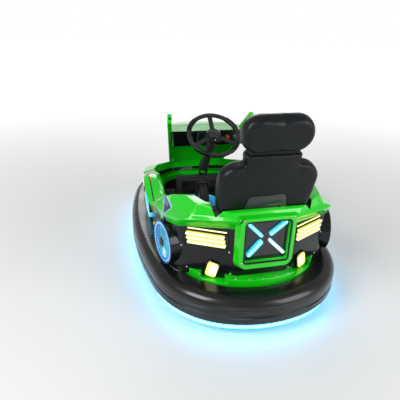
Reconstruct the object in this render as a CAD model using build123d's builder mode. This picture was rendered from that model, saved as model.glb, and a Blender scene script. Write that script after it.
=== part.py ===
from build123d import *
from math import atan2, cos, degrees, radians, sin
import os

# Drift kart: an amusement battery kart inside a rubber bumper ring.
# Millimetres. +Y is forward, +X is the driver's right, the floor is z = 0.
# The origin lies on the floor under the middle of the bumper ring.

os.makedirs("parts", exist_ok=True)

# Plan of the bumper ring: three tangent arcs in each quarter
half_width = 562.5
half_length = 920
end_radius = 620
end_angle = 18
corner_angle = 59

# Bumper ring
bumper_bottom = 75
bumper_top = 225
bumper_depth = 112
bumper_wall = 15
nose_radius_top = 52
nose_radius_bottom = 30
groove_z = 136
groove_depth = 5

# Steel band behind the ring and the light strip under it
band_thickness = 6
band_bottom = 80
band_top = 212
band_flange = 40
strip_inset = 20
strip_depth = 12
strip_height = 26

# Chassis
pan_thickness = 4
pan_top = band_bottom + pan_thickness
tube = 40
rail_x = 180
rail_half_length = half_length - 240
crossbars = (-640, -180, 300, 680)
wall = 5

# Lower belt, the ledge round the foot of the body
belt_inset = 122
belt_top = 256
ledge_depth = 78

# Body walls in plan, right half, from the rear centre to the front centre. They
# follow the ring, so that its width and length carry them along.
body_bottom = 229
side_x = half_width - 115.5
side_y = 470
panel_y = half_length - 172
panel_x = 120
corner_x = side_x - 52
corner_y = panel_y - 143
nose_y = half_length - 114
nose_x = 190
front_x = side_x - 47
front_y = nose_y - 196
side_front = front_y - 200
corner_fillet = 100

# Cockpit opening
cockpit_x = side_x - 77
seat_well_x = cockpit_x - 70
seat_well_rear = 170
seat_well_y = 560
cockpit_rear = panel_y - 20
cockpit_front = 390

# The rear deck lies on a plane that rises towards the rear. Its lip stands out
# over the lamps, and its top is hollow between the lip and the ridge. The line gives
# y and the height of its top edge from the side.
deck_y = -450
deck_z = 505
deck_rise = 0.18
deck_depth = 46
lip_rear = 44
lip_corner = 57
lip_side = 19
ridge_height = 90
deck_line = ((-300, 548), (-400, 548), (-460, 582), (-560, 616), (-670, 614), (-742, 598), (-900, 570))

# Parting lines of the body along its length
split_panel = -400
split_rear = -150
split_front = 300
panel_gap = 0.6

# Nose rim: falls towards the front round the driver's feet
rim_z = 404
rim_fall = 0.15
rim_depth = 43
rim_lip = 6
rim_height = 14

# Dash under the rear edge of the cowl
dash_y = 340
dash_half = 250
dash_low = 585

# Cowl, open at the sides below its diagonal struts; the line gives y and the height
# of its top from the side
cowl_low = 310
cowl_high = 690
tip_z = 640
cowl_line = ((dash_y - 10, cowl_high), (500, cowl_high - 6), (nose_y + 20, tip_z))
strut_foot = (210, 700, 352)
strut_head = (276, 330, 696)
strut_width = 26
strut_gap = 16
strut_overrun = 104

# Upper body along the cockpit: station, top of the wall, then how far the lip stands
# out of the wall and its height, how far the ridge stands out of the cockpit edge and
# its height, and the crown of the surface between the two
side_stations = (
    (-400, 452, 19, 496, 42, 548, -7),
    (-280, 395, 19, 452, 28, 502, -4),
    (-150, 325, 21, 392, 22, 452, 2),
    (-50, 372, 33, 418, 18, 448, 9),
    (60, 412, 35, 455, 16, 468, 14),
    (200, 398, 17, 442, 12, 458, 12),
    (300, 361, 6, 404, 7, 418, 6),
)

# Lamps stand this far out of the wall they are fixed to
lamp_depth = 14
plate_depth = 10

# Lamps of the nose: share of the run of their wall, height, size
front_side_share = 0.45
front_side_z = 297
front_side_size = (160, 64)
headlamp_share = 0.52
headlamp_z = 288
headlamp_bar = (150, 24)
headlamp_pitch = 30
nose_lamp_z = 522
nose_lamp_radii = (46, 70)

# Wheels
rear_wheel_x = side_x - 117
rear_wheel_y = -420
rear_wheel_radius = 100
rear_wheel_width = 56
rear_rim_radius = 62
front_wheel_y = 500
front_wheel_radius = 120
front_wheel_width = 66
front_rim_radius = 74
front_well_radius = 150
axle_radius = 10

# Steering
hand_wheel_y = 215
hand_wheel_z = 690
hand_wheel_radius = 165
rim_radius = 14

# Floor mat and pedals
mat_x = 290
mat_width = 140
mat_rear = 5
mat_middle_rear = -95
mat_front = 275
mat_thickness = 6
pedal_x = 250
pedal_y = 420
pedal_width = 66
pedal_height = 130

# Seat
recline = 14
seat_half = 248
seat_back_y = -690
seat_back_z = 650
seat_back_thickness = 86
seat_foot_half = 168
seat_waist = 592
seat_top = 838
neck_half = 136
headrest_half = 168
headrest_low = 872
headrest_high = 1052
headrest_thickness = 100


# Plan outline of the ring, moved inwards by an inset
def ring_face(inset):
    first = radians(end_angle)
    last = radians(end_angle + corner_angle)
    a11 = sin(last) - sin(first)
    a12 = 1 - sin(last)
    a21 = cos(first) - cos(last)
    a22 = cos(last)
    bx = half_width - end_radius * sin(first)
    by = half_length - end_radius * (1 - cos(first))
    det = a11 * a22 - a12 * a21
    corner_radius = (bx * a22 - a12 * by) / det
    side_radius = (a11 * by - a21 * bx) / det
    with BuildSketch() as outline:
        with BuildLine():
            rear = JernArc((0, inset - half_length), (1, 0), end_radius - inset, end_angle)
            corner = JernArc(rear @ 1, rear % 1, corner_radius - inset, corner_angle)
            JernArc(corner @ 1, corner % 1, side_radius - inset, 90 - end_angle - corner_angle)
            mirror(about=Plane.XZ)
            mirror(about=Plane.YZ)
        make_face()
    return outline.sketch


# Closed ring between two insets, from one height to another
def hoop(outer, inner, low, high):
    with BuildPart() as closed:
        with BuildSketch(Plane.XY.offset(low)):
            add(ring_face(outer))
            add(ring_face(inner), mode=Mode.SUBTRACT)
        extrude(amount=high - low)
    return closed.part


# Plan outline of the body walls, grown outwards
def body_face(grow):
    with BuildSketch() as outline:
        with BuildLine():
            Polyline(
                (0, -panel_y),
                (panel_x, -panel_y),
                (corner_x, -corner_y),
                (side_x, -side_y),
                (side_x, side_front),
                (front_x, front_y),
                (nose_x, nose_y - 25),
                (0, nose_y),
            )
            mirror(about=Plane.YZ)
        make_face()
        fillet(outline.vertices().filter_by(lambda v: abs(v.X) > nose_x - 1), corner_fillet)
        if grow:
            offset(amount=grow, kind=Kind.INTERSECTION)
    return outline.sketch


# Plan outline of the cockpit opening, grown outwards
def cockpit_face(grow):
    with BuildSketch() as opening:
        with BuildLine():
            Polyline(
                (0, -cockpit_rear),
                (seat_well_rear, -cockpit_rear),
                (seat_well_x - 38, -cockpit_rear + 88),
                (seat_well_x, -seat_well_y),
                (cockpit_x, split_panel),
                (cockpit_x, cockpit_front),
                (0, cockpit_front),
            )
            mirror(about=Plane.YZ)
        make_face()
        fillet(opening.vertices().filter_by(lambda v: abs(v.X) > 1), 30)
        if grow:
            offset(amount=grow, kind=Kind.INTERSECTION)
    return opening.sketch


# A plan outline extruded from one height to another, between two values of y
def slab(face, low, high, y_low, y_high):
    with BuildPart() as block:
        with BuildSketch(Plane.XY.offset(low)):
            add(face)
            with Locations((0, (y_low + y_high) / 2)):
                Rectangle(3 * half_width, y_high - y_low, mode=Mode.INTERSECT)
        extrude(amount=high - low)
    return block.part


# A closed section of an end of the body: points from the centre line outwards,
# the last of them on the line where the end is cut off
def end_section(points, radius, grow):
    cut = points[-1][1]
    with BuildSketch() as section:
        with BuildLine():
            Polyline(*points, (0, cut))
            mirror(about=Plane.YZ)
        make_face()
        fillet(
            section.vertices().filter_by(lambda v: abs(v.X) > 1 and abs(v.Y - cut) > 1),
            radius,
        )
        if grow:
            offset(amount=grow, kind=Kind.INTERSECTION)
    return section.sketch


# Ruled loft through end sections: rows of height, points, radius, growth
def end_loft(rows, plane, shift):
    with BuildPart() as volume:
        for lower, upper in zip(rows, rows[1:]):
            for height, points, radius, grow in (lower, upper):
                with BuildSketch(plane.offset(height)):
                    with Locations((0, shift)):
                        add(end_section(points, radius, grow))
            loft(ruled=True)
    return volume.part


# The rear deck's tilted plane and the outlines on it
deck_plane = Plane(origin=(0, deck_y, deck_z), x_dir=(1, 0, 0), z_dir=(0, deck_rise, 1))
wall_rear = (
    (0, -panel_y),
    (panel_x, -panel_y),
    (corner_x, -corner_y),
    (side_x, -side_y),
    (side_x, split_panel),
)
edge_rear = (
    (0, -panel_y - lip_rear),
    (panel_x + 5, -panel_y - lip_rear),
    (corner_x - 10, -corner_y - lip_corner),
    (side_x - 5, -side_y - 75),
    (side_x + lip_side, split_panel),
)
ridge_rear = (
    (0, -cockpit_rear - 14),
    (seat_well_rear + 25, -cockpit_rear - 14),
    (seat_well_x, -cockpit_rear + 60),
    (cockpit_x + 14, -side_y + 10),
    (cockpit_x + 26, split_panel),
)
hollow_rear = tuple(
    (0.5 * (edge[0] + ridge[0]), 0.5 * (edge[1] + ridge[1])) for edge, ridge in zip(edge_rear, ridge_rear)
)

# The nose rim's tilted plane and the outlines on it
nose_rear = split_front + panel_gap
rim_plane = Plane(origin=(0, nose_rear, rim_z), x_dir=(1, 0, 0), z_dir=(0, rim_fall, 1))
wall_front = (
    (0, nose_y),
    (nose_x, nose_y - 25),
    (front_x, front_y),
    (side_x, side_front),
    (side_x, nose_rear - 20),
)
rim_front = (
    (0, nose_y - 78),
    (nose_x + 5, nose_y - 90),
    (front_x - 64, front_y - 24),
    (cockpit_x + 12, front_y - 190),
    (cockpit_x + 7, nose_rear - 20),
)
cowl_base = (
    (0, nose_y - 14),
    (96, nose_y - 34),
    (196, nose_y - 110),
    (262, nose_y - 350),
    (262, dash_y),
)
cowl_waist = (
    (0, nose_y - 30),
    (80, nose_y - 48),
    (182, nose_y - 120),
    (254, nose_y - 350),
    (256, dash_y),
)
cowl_top = (
    (0, nose_y + 18),
    (84, nose_y),
    (190, nose_y - 84),
    (262, nose_y - 330),
    (264, dash_y),
)


# Side view cut across the body: keeps what lies under the line of y, z points
def under_line(points):
    with BuildPart() as block:
        with BuildSketch(Plane.YZ):
            with BuildLine():
                Polyline(*points, (points[-1][0], 0), (points[0][0], 0), close=True)
            make_face()
        extrude(amount=2 * half_width, both=True)
    return block.part


# Outer form of the rear deck, and the same form a skin further in
def deck_volume(skin):
    bottom = -deck_depth - (5 if skin else 0)
    rows = (
        (bottom, wall_rear, corner_fillet, -skin),
        (-skin, edge_rear, corner_fillet, -skin),
        (ridge_height * 0.2 - skin, hollow_rear, 50, -skin),
        (ridge_height, ridge_rear, 40, -skin),
    )
    with BuildPart() as volume:
        add(end_loft(rows, deck_plane, -deck_y))
        add(under_line([(y, z - skin) for y, z in deck_line]), mode=Mode.INTERSECT)
    return volume.part


# Outer form of the upper body on the right between two stations
def side_volume(skin, first, last):
    stations = [row for row in side_stations if first <= row[0] <= last]
    reach = 1 if skin else 0
    with BuildPart() as volume:
        for y, wall_z, lip_out, lip_z, ridge_out, ridge_z, crown in stations:
            y += reach * (y == last) - reach * (y == first)
            lip_point = (side_x + lip_out - 1.6 * skin, lip_z - 0.6 * skin)
            ridge_point = (cockpit_x + ridge_out, ridge_z - skin)
            middle = (
                (lip_point[0] + ridge_point[0]) / 2,
                (lip_point[1] + ridge_point[1]) / 2 + crown,
            )
            inner_edge = (
                (cockpit_x + skin, ridge_z - 7 - skin),
                (cockpit_x + skin, wall_z - 4 * skin),
                (side_x - skin, wall_z - 4 * skin),
            )
            wall_point = [(side_x - skin, wall_z)] if skin else []
            with BuildSketch(Plane.XZ.offset(-y)):
                with BuildLine():
                    ThreePointArc(lip_point, middle, ridge_point)
                    Polyline(ridge_point, *inner_edge, *wall_point, lip_point)
                make_face()
        loft()
    return volume.part


# Plan points moved to a plane at a height over the rim's plane, so that they stay
# over their places in plan
def on_rim(points, height):
    stretch = (1 + rim_fall ** 2) ** 0.5
    return tuple((x, (y - nose_rear) * stretch - height * rim_fall) for x, y in points)


# Outer form of the nose: upright wall, lip and rim, forwards of the parting line
def nose_volume(skin):
    reach = 1 if skin else 0
    rows = []
    for height, points, grow in (
        (body_bottom - rim_z - 20, wall_front, 0),
        (-rim_depth, wall_front, 0),
        (-skin, wall_front, rim_lip),
        (rim_height - skin, rim_front, 0),
    ):
        rows.append((height, on_rim(points, height), corner_fillet, grow - skin))
    with BuildPart() as volume:
        add(end_loft(rows, rim_plane, 0))
        split(bisect_by=Plane.XZ.offset(reach - nose_rear), keep=Keep.BOTTOM)
        split(bisect_by=Plane.XY.offset(body_bottom - reach), keep=Keep.TOP)
    return volume.part


# Outer form of the cowl with its overhanging tip
def cowl_volume(skin):
    rows = (
        (cowl_low, cowl_base, 30, -skin),
        (550, cowl_waist, 26, -skin),
        (cowl_high, cowl_top, 22, -skin),
    )
    with BuildPart() as volume:
        add(end_loft(rows, Plane.XY, 0))
        add(under_line([(y, z - skin) for y, z in cowl_line]), mode=Mode.INTERSECT)
    return volume.part


# Scoops cut in the belt under the rear fog lamps
fog_x = 230
fog_y = -panel_y + (fog_x - panel_x) * (panel_y - corner_y) / (corner_x - panel_x)
fog_z = 276


def scoops(grow):
    with BuildPart() as wedges:
        for side in (-1, 1):
            with Locations((side * fog_x, fog_y - 40, belt_top)):
                Box(112 + 2 * grow, 130 + 2 * grow, 2 * (belt_top - 230) + 2 * grow)
    return wedges.part


# Bumper ring: hollow rubber, open at the back where the band closes it
with BuildPart() as bumper_ring:
    with BuildSketch(Plane.XY.offset(bumper_bottom)):
        add(ring_face(0))
    extrude(amount=bumper_top - bumper_bottom)
    fillet(bumper_ring.edges().group_by(Axis.Z)[-1], nose_radius_top)
    fillet(bumper_ring.edges().group_by(Axis.Z)[0], nose_radius_bottom)
    with BuildSketch(Plane.XY.offset(bumper_bottom - 1)):
        add(ring_face(bumper_depth))
    extrude(amount=bumper_top - bumper_bottom + 2, mode=Mode.SUBTRACT)
    add(
        hoop(bumper_wall + 12, bumper_depth, bumper_bottom + bumper_wall, bumper_top - bumper_wall),
        mode=Mode.SUBTRACT,
    )
    add(hoop(-1, groove_depth, groove_z - 4, groove_z + 4), mode=Mode.SUBTRACT)
    add(
        hoop(strip_inset, strip_inset + strip_depth, bumper_bottom - 1, bumper_bottom + 6),
        mode=Mode.SUBTRACT,
    )

# Light strip let into the underside of the ring
with BuildPart() as underglow_strip:
    add(hoop(strip_inset, strip_inset + strip_depth, bumper_bottom + 6 - strip_height, bumper_bottom + 6))

# Steel band: closes the back of the ring, with a flange for the body on top
with BuildPart() as bumper_band:
    add(hoop(bumper_depth, bumper_depth + band_thickness, band_bottom, bumper_top - bumper_wall))
    add(hoop(bumper_depth, bumper_depth + band_flange, band_top - band_thickness, band_top))

# Floor pan with wells for the wheels
pan_inset = bumper_depth + band_thickness
with BuildPart() as floor_pan:
    with BuildSketch(Plane.XY.offset(band_bottom)):
        add(ring_face(pan_inset))
        with Locations((0, front_wheel_y)):
            Circle(front_well_radius, mode=Mode.SUBTRACT)
        with Locations((-rear_wheel_x, rear_wheel_y), (rear_wheel_x, rear_wheel_y)):
            Rectangle(rear_wheel_width + 20, 2 * rear_wheel_radius + 36, mode=Mode.SUBTRACT)
    extrude(amount=pan_thickness)

# Frame of square tube on the pan
bridge_low = 2 * front_wheel_radius + 24
bridge_high = bridge_low + tube
kingpin_radius = 15.95
kingpin_bore = 16
post_y = (-520, -200)
seat_base_z = 262
with BuildPart() as frame:
    for x in (-rail_x, rail_x):
        with Locations((x, 0, pan_top + tube / 2)):
            Box(tube, 2 * rail_half_length, tube)
    for y in crossbars:
        with Locations((0, y, pan_top + tube / 2)):
            Box(2 * half_width, tube, tube)
    with BuildSketch(Plane.XY.offset(pan_top)):
        add(ring_face(pan_inset))
    extrude(amount=tube, mode=Mode.INTERSECT)

# Bridge over the driven wheel, standing on the rails
with BuildPart() as steering_bridge:
    for x in (-rail_x, rail_x):
        with Locations((x, front_wheel_y, (pan_top + tube + bridge_high) / 2)):
            Box(tube, tube, bridge_high - pan_top - tube)
    with Locations((0, front_wheel_y, (bridge_low + bridge_high) / 2)):
        Box(2 * rail_x + tube, tube, tube)
        Cylinder(kingpin_bore, tube + 2, mode=Mode.SUBTRACT)

# Battery, one plain block between the rails under the seat
battery_x = rail_x - tube / 2 - 5
with BuildPart() as battery_box:
    with Locations((0, -405, pan_top + 82)):
        Box(2 * battery_x, 350, 164)
    edges_up = battery_box.edges().filter_by(Axis.Z)
    fillet(edges_up, 8)

# Belt: the ledge between the ring and the body, with scoops under the fog lamps
belt_block = hoop(belt_inset, belt_inset + ledge_depth, band_top, belt_top)
with BuildPart() as belt_form:
    add(belt_block)
    add(scoops(0), mode=Mode.SUBTRACT)
with BuildPart() as belt_hollow:
    add(hoop(belt_inset + wall, belt_inset + ledge_depth - wall, band_top - 1, belt_top - wall))
    add(scoops(wall), mode=Mode.SUBTRACT)
with BuildPart() as body_belt:
    add(belt_form.part)
    add(belt_hollow.part, mode=Mode.SUBTRACT)

# Rear panel: black wall round the tail, up to the underside of the deck
with BuildPart() as deck_space:
    with BuildSketch(deck_plane.offset(-deck_depth)):
        Rectangle(4 * half_width, 4 * half_length)
    extrude(amount=400)
with BuildPart() as rear_panel:
    add(slab(body_face(0), body_bottom, 700, -900, split_panel))
    add(slab(body_face(-wall), body_bottom - 1, 701, -900, split_panel + 1), mode=Mode.SUBTRACT)
    add(deck_space.part, mode=Mode.SUBTRACT)
    add(belt_form.part, mode=Mode.SUBTRACT)
    add(belt_hollow.part, mode=Mode.SUBTRACT)

# Pod for the cross lamp: its full form, with drafted flanks
pod_face_y = 792
pod_half = 132
pod_low = 318
pod_high = 582
pod_draft = 16
well_half = 107
well_low = 352
well_high = 560
well_depth = 30
with BuildPart() as pod_form:
    with BuildSketch(Plane.XZ.offset(pod_face_y)) as pod_front:
        with Locations((0, (pod_low + pod_high) / 2)):
            Rectangle(2 * pod_half, pod_high - pod_low)
        fillet(pod_front.vertices().group_by(Axis.Y)[0], 42)
        fillet(pod_front.vertices().group_by(Axis.Y)[-1], 12)
    with BuildSketch(Plane.XZ.offset(panel_y)) as pod_root:
        with Locations((0, (pod_low + pod_high) / 2 - pod_draft / 2)):
            Rectangle(2 * (pod_half + pod_draft), pod_high - pod_low + pod_draft)
        fillet(pod_root.vertices().group_by(Axis.Y)[0], 50)
        fillet(pod_root.vertices().group_by(Axis.Y)[-1], 14)
    loft()

# Seat plane: leans back, with its origin on the middle of the seat's back
lean = radians(recline)
seat_plane = Plane(
    origin=(0, seat_back_y, seat_back_z),
    x_dir=(1, 0, 0),
    z_dir=(0, -cos(lean), -sin(lean)),
)


# Distance up the seat back of a height above the floor
def up_seat(z):
    return (z - seat_back_z) / cos(lean)


# Outline of the seat back from a height upwards: narrow foot, round shoulders
def back_face(z_low, grow=0):
    with BuildSketch() as outline:
        with BuildLine():
            Polyline(
                (0, up_seat(z_low)),
                (seat_foot_half, up_seat(z_low)),
                (seat_foot_half, up_seat(seat_waist - 70)),
                (seat_half - 12, up_seat(seat_waist)),
                (seat_half, up_seat(seat_waist + 90)),
                (seat_half, up_seat(seat_top)),
                (0, up_seat(seat_top)),
            )
            mirror(about=Plane.YZ)
        make_face()
        fillet(outline.vertices().group_by(Axis.Y)[-1].filter_by(lambda v: abs(v.X) > 1), 96)
        fillet(outline.vertices().filter_by(lambda v: abs(v.Y - up_seat(seat_waist)) < 1), 50)
        if grow:
            offset(amount=grow, kind=Kind.INTERSECTION)
    return outline.sketch


# Rear deck: a collar round the seat with its lip over the lamps
seat_gap = 6
with BuildPart() as seat_space:
    with BuildSketch(seat_plane.offset(-seat_back_thickness / 2 - seat_gap)):
        add(back_face(belt_top, seat_gap))
    extrude(amount=seat_back_thickness + 2 * seat_gap)
with BuildPart() as deck_inside:
    add(deck_volume(wall))
    with BuildSketch(Plane.XY.offset(300)):
        add(cockpit_face(wall))
    extrude(amount=500, mode=Mode.SUBTRACT)
with BuildPart() as deck_side:
    add(side_volume(0, split_panel, split_rear))
    add(side_volume(wall, split_panel, split_rear), mode=Mode.SUBTRACT)
    mirror(about=Plane.YZ)
with BuildPart() as rear_deck:
    add(deck_volume(0))
    add(deck_inside.part, mode=Mode.SUBTRACT)
    add(pod_form.part, mode=Mode.SUBTRACT)
    with BuildSketch(Plane.XY.offset(300)):
        add(cockpit_face(0))
    extrude(amount=500, mode=Mode.SUBTRACT)
    add(seat_space.part, mode=Mode.SUBTRACT)
    add(deck_side.part)

# Upright sheet of the upper body between two stations, from a height to the top of
# the wall and a little into the form above it
def upright(x, low, first, last):
    rows = [(row[0], row[1] + 12) for row in side_stations if first <= row[0] <= last]
    with BuildPart() as sheet:
        with BuildSketch(Plane.YZ.offset(x)):
            with BuildLine():
                Polyline((first, low), *rows, (last, low), close=True)
            make_face()
        extrude(amount=wall)
    return sheet.part


# Side pods: troughs along the cockpit, each with the skirt behind it
pill_y = 83
pill_z = 312
pill_length = 300
pill_height = 150
pill_rim = 22
with BuildPart() as skirt:
    add(upright(side_x - wall, body_bottom, split_panel, split_rear))
    add(side_volume(0, split_panel, split_rear), mode=Mode.SUBTRACT)
with BuildPart() as side_pod_right:
    add(side_volume(0, split_rear, split_front))
    add(side_volume(wall, split_rear, split_front), mode=Mode.SUBTRACT)
    add(upright(side_x - wall, body_bottom, split_rear, split_front))
    add(upright(cockpit_x, belt_top, split_rear, split_front))
    with Locations(((side_x + cockpit_x) / 2, (split_rear + split_front) / 2, belt_top + wall / 2)):
        Box(side_x - cockpit_x, split_front - split_rear, wall)
    add(skirt.part)
    with BuildSketch(Plane.YZ.offset(side_x)):
        with Locations((pill_y, pill_z)):
            SlotOverall(pill_length + 2 * pill_rim, pill_height + 2 * pill_rim)
            SlotOverall(pill_length + 4, pill_height + 4, mode=Mode.SUBTRACT)
        with Locations((pill_y, pill_z - 100)):
            Rectangle(2 * pill_length, 190, mode=Mode.SUBTRACT)
    extrude(amount=lamp_depth + 6)

with BuildPart() as side_pod_left:
    add(side_pod_right.part)
    mirror(about=Plane.YZ, mode=Mode.REPLACE)

# Opening of the nose over the driver's feet, grown outwards
def footwell_face(grow):
    with BuildSketch() as opening:
        add(end_section(rim_front, corner_fillet, grow - rim_front[-1][0] + cockpit_x))
        with Locations((0, split_front + 10)):
            Rectangle(2 * cockpit_x + 2 * grow, 60)
    return opening.sketch


# Nose: the wall and the rim round the driver's feet, open inside
with BuildPart() as curtain_space:
    with BuildSketch(Plane.XY.offset(body_bottom)):
        add(footwell_face(wall))
    extrude(amount=rim_z)
    split(bisect_by=rim_plane.offset(-rim_depth), keep=Keep.TOP)
with BuildPart() as nose_inside:
    add(nose_volume(wall))
    add(curtain_space.part, mode=Mode.SUBTRACT)
with BuildPart() as nose_body:
    add(nose_volume(0))
    add(nose_inside.part, mode=Mode.SUBTRACT)
    add(belt_form.part, mode=Mode.SUBTRACT)
    add(belt_hollow.part, mode=Mode.SUBTRACT)
    with BuildSketch(Plane.XY.offset(body_bottom - 1)):
        add(footwell_face(0))
    extrude(amount=rim_z, mode=Mode.SUBTRACT)

# Steering column from the bridge to the hand wheel
column_low = (0, front_wheel_y - 30, bridge_high + 46)
column_run = (
    hand_wheel_y - column_low[1],
    hand_wheel_z - column_low[2],
)
column_length = (column_run[0] ** 2 + column_run[1] ** 2) ** 0.5
column_axis = (0, column_run[0] / column_length, column_run[1] / column_length)
column_plane = Plane(origin=column_low, x_dir=(1, 0, 0), z_dir=column_axis)
hand_plane = column_plane.offset(column_length)
shaft_radius = 11
tube_radius = 26

# Cowl over the nose: its sides end at the diagonal of the struts
vent = ((596, 556), (692, 590), (692, 492))
with BuildPart() as front_cowl:
    add(cowl_volume(0))
    add(cowl_volume(wall), mode=Mode.SUBTRACT)
    with BuildSketch(Plane.YZ) as below_struts:
        with BuildLine():
            Polyline(
                (strut_foot[1], 0),
                strut_foot[1:],
                strut_head[1:],
                (0, strut_head[2]),
                (0, 0),
                close=True,
            )
        make_face()
    extrude(amount=half_width, both=True, mode=Mode.SUBTRACT)
    with BuildSketch(Plane.YZ) as vents:
        with BuildLine():
            Polyline(*vent, close=True)
        make_face()
        fillet(vents.vertices(), 8)
    extrude(amount=half_width, both=True, mode=Mode.SUBTRACT)
    add(nose_volume(0), mode=Mode.SUBTRACT)

# Struts: a pair of bars on a thin web on each side, from the rim up past the cowl
strut_run = Vector(*strut_head) - Vector(*strut_foot)
strut_plane = Plane(
    origin=strut_foot,
    x_dir=strut_run,
    z_dir=Vector(-strut_run.Y, strut_run.X, 0),
)
with BuildPart() as cowl_struts:
    length = strut_run.length + strut_overrun
    step = strut_width + strut_gap
    with BuildSketch(strut_plane.offset(-16)):
        for row in (0, 1):
            with Locations((length / 2 - 60, -strut_width / 2 - row * step)):
                Rectangle(length + 120, strut_width)
    extrude(amount=28)
    with BuildSketch(strut_plane.offset(-4)):
        with Locations((length / 2 - 60, -strut_width - strut_gap / 2)):
            Rectangle(length + 120, strut_gap)
    extrude(amount=8)
    with Locations((0, strut_foot[1], strut_foot[2] - 200)):
        Box(2 * half_width, 400, 400, mode=Mode.SUBTRACT)
    add(nose_volume(0), mode=Mode.SUBTRACT)
    add(cowl_volume(0), mode=Mode.SUBTRACT)
    mirror(about=Plane.YZ)

# Dash between the heads of the struts, under the rear edge of the cowl
with BuildPart() as dash_panel:
    with Locations((0, dash_y, (dash_low + cowl_high - 1) / 2)):
        Box(2 * dash_half, 14, cowl_high - 1 - dash_low)
    add(front_cowl.part, mode=Mode.SUBTRACT)
    add(cowl_struts.part, mode=Mode.SUBTRACT)

# Pod frame, with the well sunk in its face
with BuildPart() as lamp_pod:
    add(pod_form.part)
    with BuildSketch(Plane.XZ.offset(pod_face_y)):
        with Locations((0, (well_low + well_high) / 2)):
            RectangleRounded(2 * well_half, well_high - well_low, 16)
    extrude(amount=-well_depth, mode=Mode.SUBTRACT)
    add(slab(body_face(0), body_bottom, deck_z, -900, split_panel), mode=Mode.SUBTRACT)
    add(belt_form.part, mode=Mode.SUBTRACT)

# Black floor of the well and the four bars of the cross lamp on it
with BuildPart() as lamp_well:
    with BuildSketch(Plane.XZ.offset(pod_face_y - well_depth)):
        with Locations((0, (well_low + well_high) / 2)):
            RectangleRounded(2 * well_half, well_high - well_low, 16)
    extrude(amount=4)
cross_z = 465
bar_rows = (
    (-93, 85, -22, 14, 17),
    (93, 85, 14, 20, 20),
    (-88, -84, -22, -8, 25),
    (93, -84, 14, -6, 17),
)
with BuildPart() as cross_lamp:
    for x0, z0, x1, z1, width in bar_rows:
        reach = ((x1 - x0) ** 2 + (z1 - z0) ** 2) ** 0.5
        tilt = degrees(atan2(z1 - z0, x1 - x0))
        with BuildSketch(Plane.XZ.offset(pod_face_y - well_depth + 4)):
            with Locations(((x0 + x1) / 2, cross_z + (z0 + z1) / 2)):
                SlotCenterToCenter(reach - width, width, rotation=tilt)
        extrude(amount=lamp_depth)

# Facet of the rear wall on the right, and the lamps on it
facet_length = ((corner_x - panel_x) ** 2 + (panel_y - corner_y) ** 2) ** 0.5
facet_dx = (corner_x - panel_x) / facet_length
facet_dy = (panel_y - corner_y) / facet_length


def on_facet(x, z):
    y = -panel_y + (x - panel_x) * facet_dy / facet_dx
    return Plane(origin=(x, y, z), x_dir=(facet_dx, facet_dy, 0), z_dir=(facet_dy, -facet_dx, 0))


tail_x = 262
tail_z = 436
tail_length = 188
tail_bar = 16
tail_pitch = 22
with BuildPart() as tail_lamps:
    with BuildSketch(on_facet(tail_x, tail_z)):
        with Locations((-4, -tail_pitch), (0, 0), (4, tail_pitch)):
            SlotOverall(tail_length, tail_bar)
    extrude(amount=lamp_depth)
    mirror(about=Plane.YZ)

with BuildPart() as fog_lamps:
    with BuildSketch(on_facet(fog_x, fog_z)):
        with Locations(Location((0, 0), 14)):
            RectangleRounded(54, 76, 14)
    extrude(amount=lamp_depth)
    mirror(about=Plane.YZ)

# Ring lamps on the rear corners: black housing, ring and hub of light
ring_x = 446
ring_y = -520
ring_z = 352
ring_angle = 14
bezel_radius = 116
ring_outer = 108
ring_inner = 88
ring_normal = (cos(radians(ring_angle)), -sin(radians(ring_angle)), 0)
ring_plane = Plane(
    origin=(ring_x, ring_y, ring_z),
    x_dir=(sin(radians(ring_angle)), cos(radians(ring_angle)), 0),
    z_dir=ring_normal,
)
with BuildPart() as ring_housings:
    with BuildSketch(ring_plane):
        Circle(bezel_radius)
    extrude(amount=-60)
    with BuildSketch(ring_plane):
        Circle(ring_outer)
        Circle(ring_inner, mode=Mode.SUBTRACT)
    extrude(amount=-12, mode=Mode.SUBTRACT)
    with BuildSketch(Plane.XY.offset(body_bottom - 20)):
        add(body_face(0))
    extrude(amount=400, mode=Mode.SUBTRACT)
    add(deck_volume(0), mode=Mode.SUBTRACT)
    mirror(about=Plane.YZ)
with BuildPart() as ring_lamps:
    with BuildSketch(ring_plane.offset(-12)):
        Circle(ring_outer)
        Circle(ring_inner, mode=Mode.SUBTRACT)
    extrude(amount=16)
    mirror(about=Plane.YZ)

# Lamps along the sides
with BuildPart() as pill_lamps:
    with BuildSketch(Plane.YZ.offset(side_x)):
        with Locations((pill_y, pill_z)):
            SlotOverall(pill_length, pill_height)
            SlotOverall(pill_length - 2 * pill_rim, pill_height - 2 * pill_rim, mode=Mode.SUBTRACT)
    extrude(amount=lamp_depth)
    mirror(about=Plane.YZ)
with BuildPart() as pill_centres:
    with BuildSketch(Plane.YZ.offset(side_x)):
        with Locations((pill_y, pill_z)):
            SlotOverall(pill_length - 2 * pill_rim - 20, pill_height - 2 * pill_rim - 20)
    extrude(amount=plate_depth)
    mirror(about=Plane.YZ)
with BuildPart() as side_lamps:
    with BuildSketch(Plane.YZ.offset(side_x)) as wedge:
        with BuildLine():
            Polyline((-168, 288), (-392, 388), (-398, 300), close=True)
        make_face()
        fillet(wedge.vertices(), 8)
    extrude(amount=plate_depth)
    mirror(about=Plane.YZ)


# Plane on a straight wall of the nose between two plan points, at a share of its run
def on_nose(start, end, share, z):
    run = ((end[0] - start[0]) ** 2 + (end[1] - start[1]) ** 2) ** 0.5
    dx = (end[0] - start[0]) / run
    dy = (end[1] - start[1]) / run
    x = start[0] + share * (end[0] - start[0])
    y = start[1] + share * (end[1] - start[1])
    return Plane(origin=(x, y, z), x_dir=(dx, dy, 0), z_dir=(dy, -dx, 0))


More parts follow.
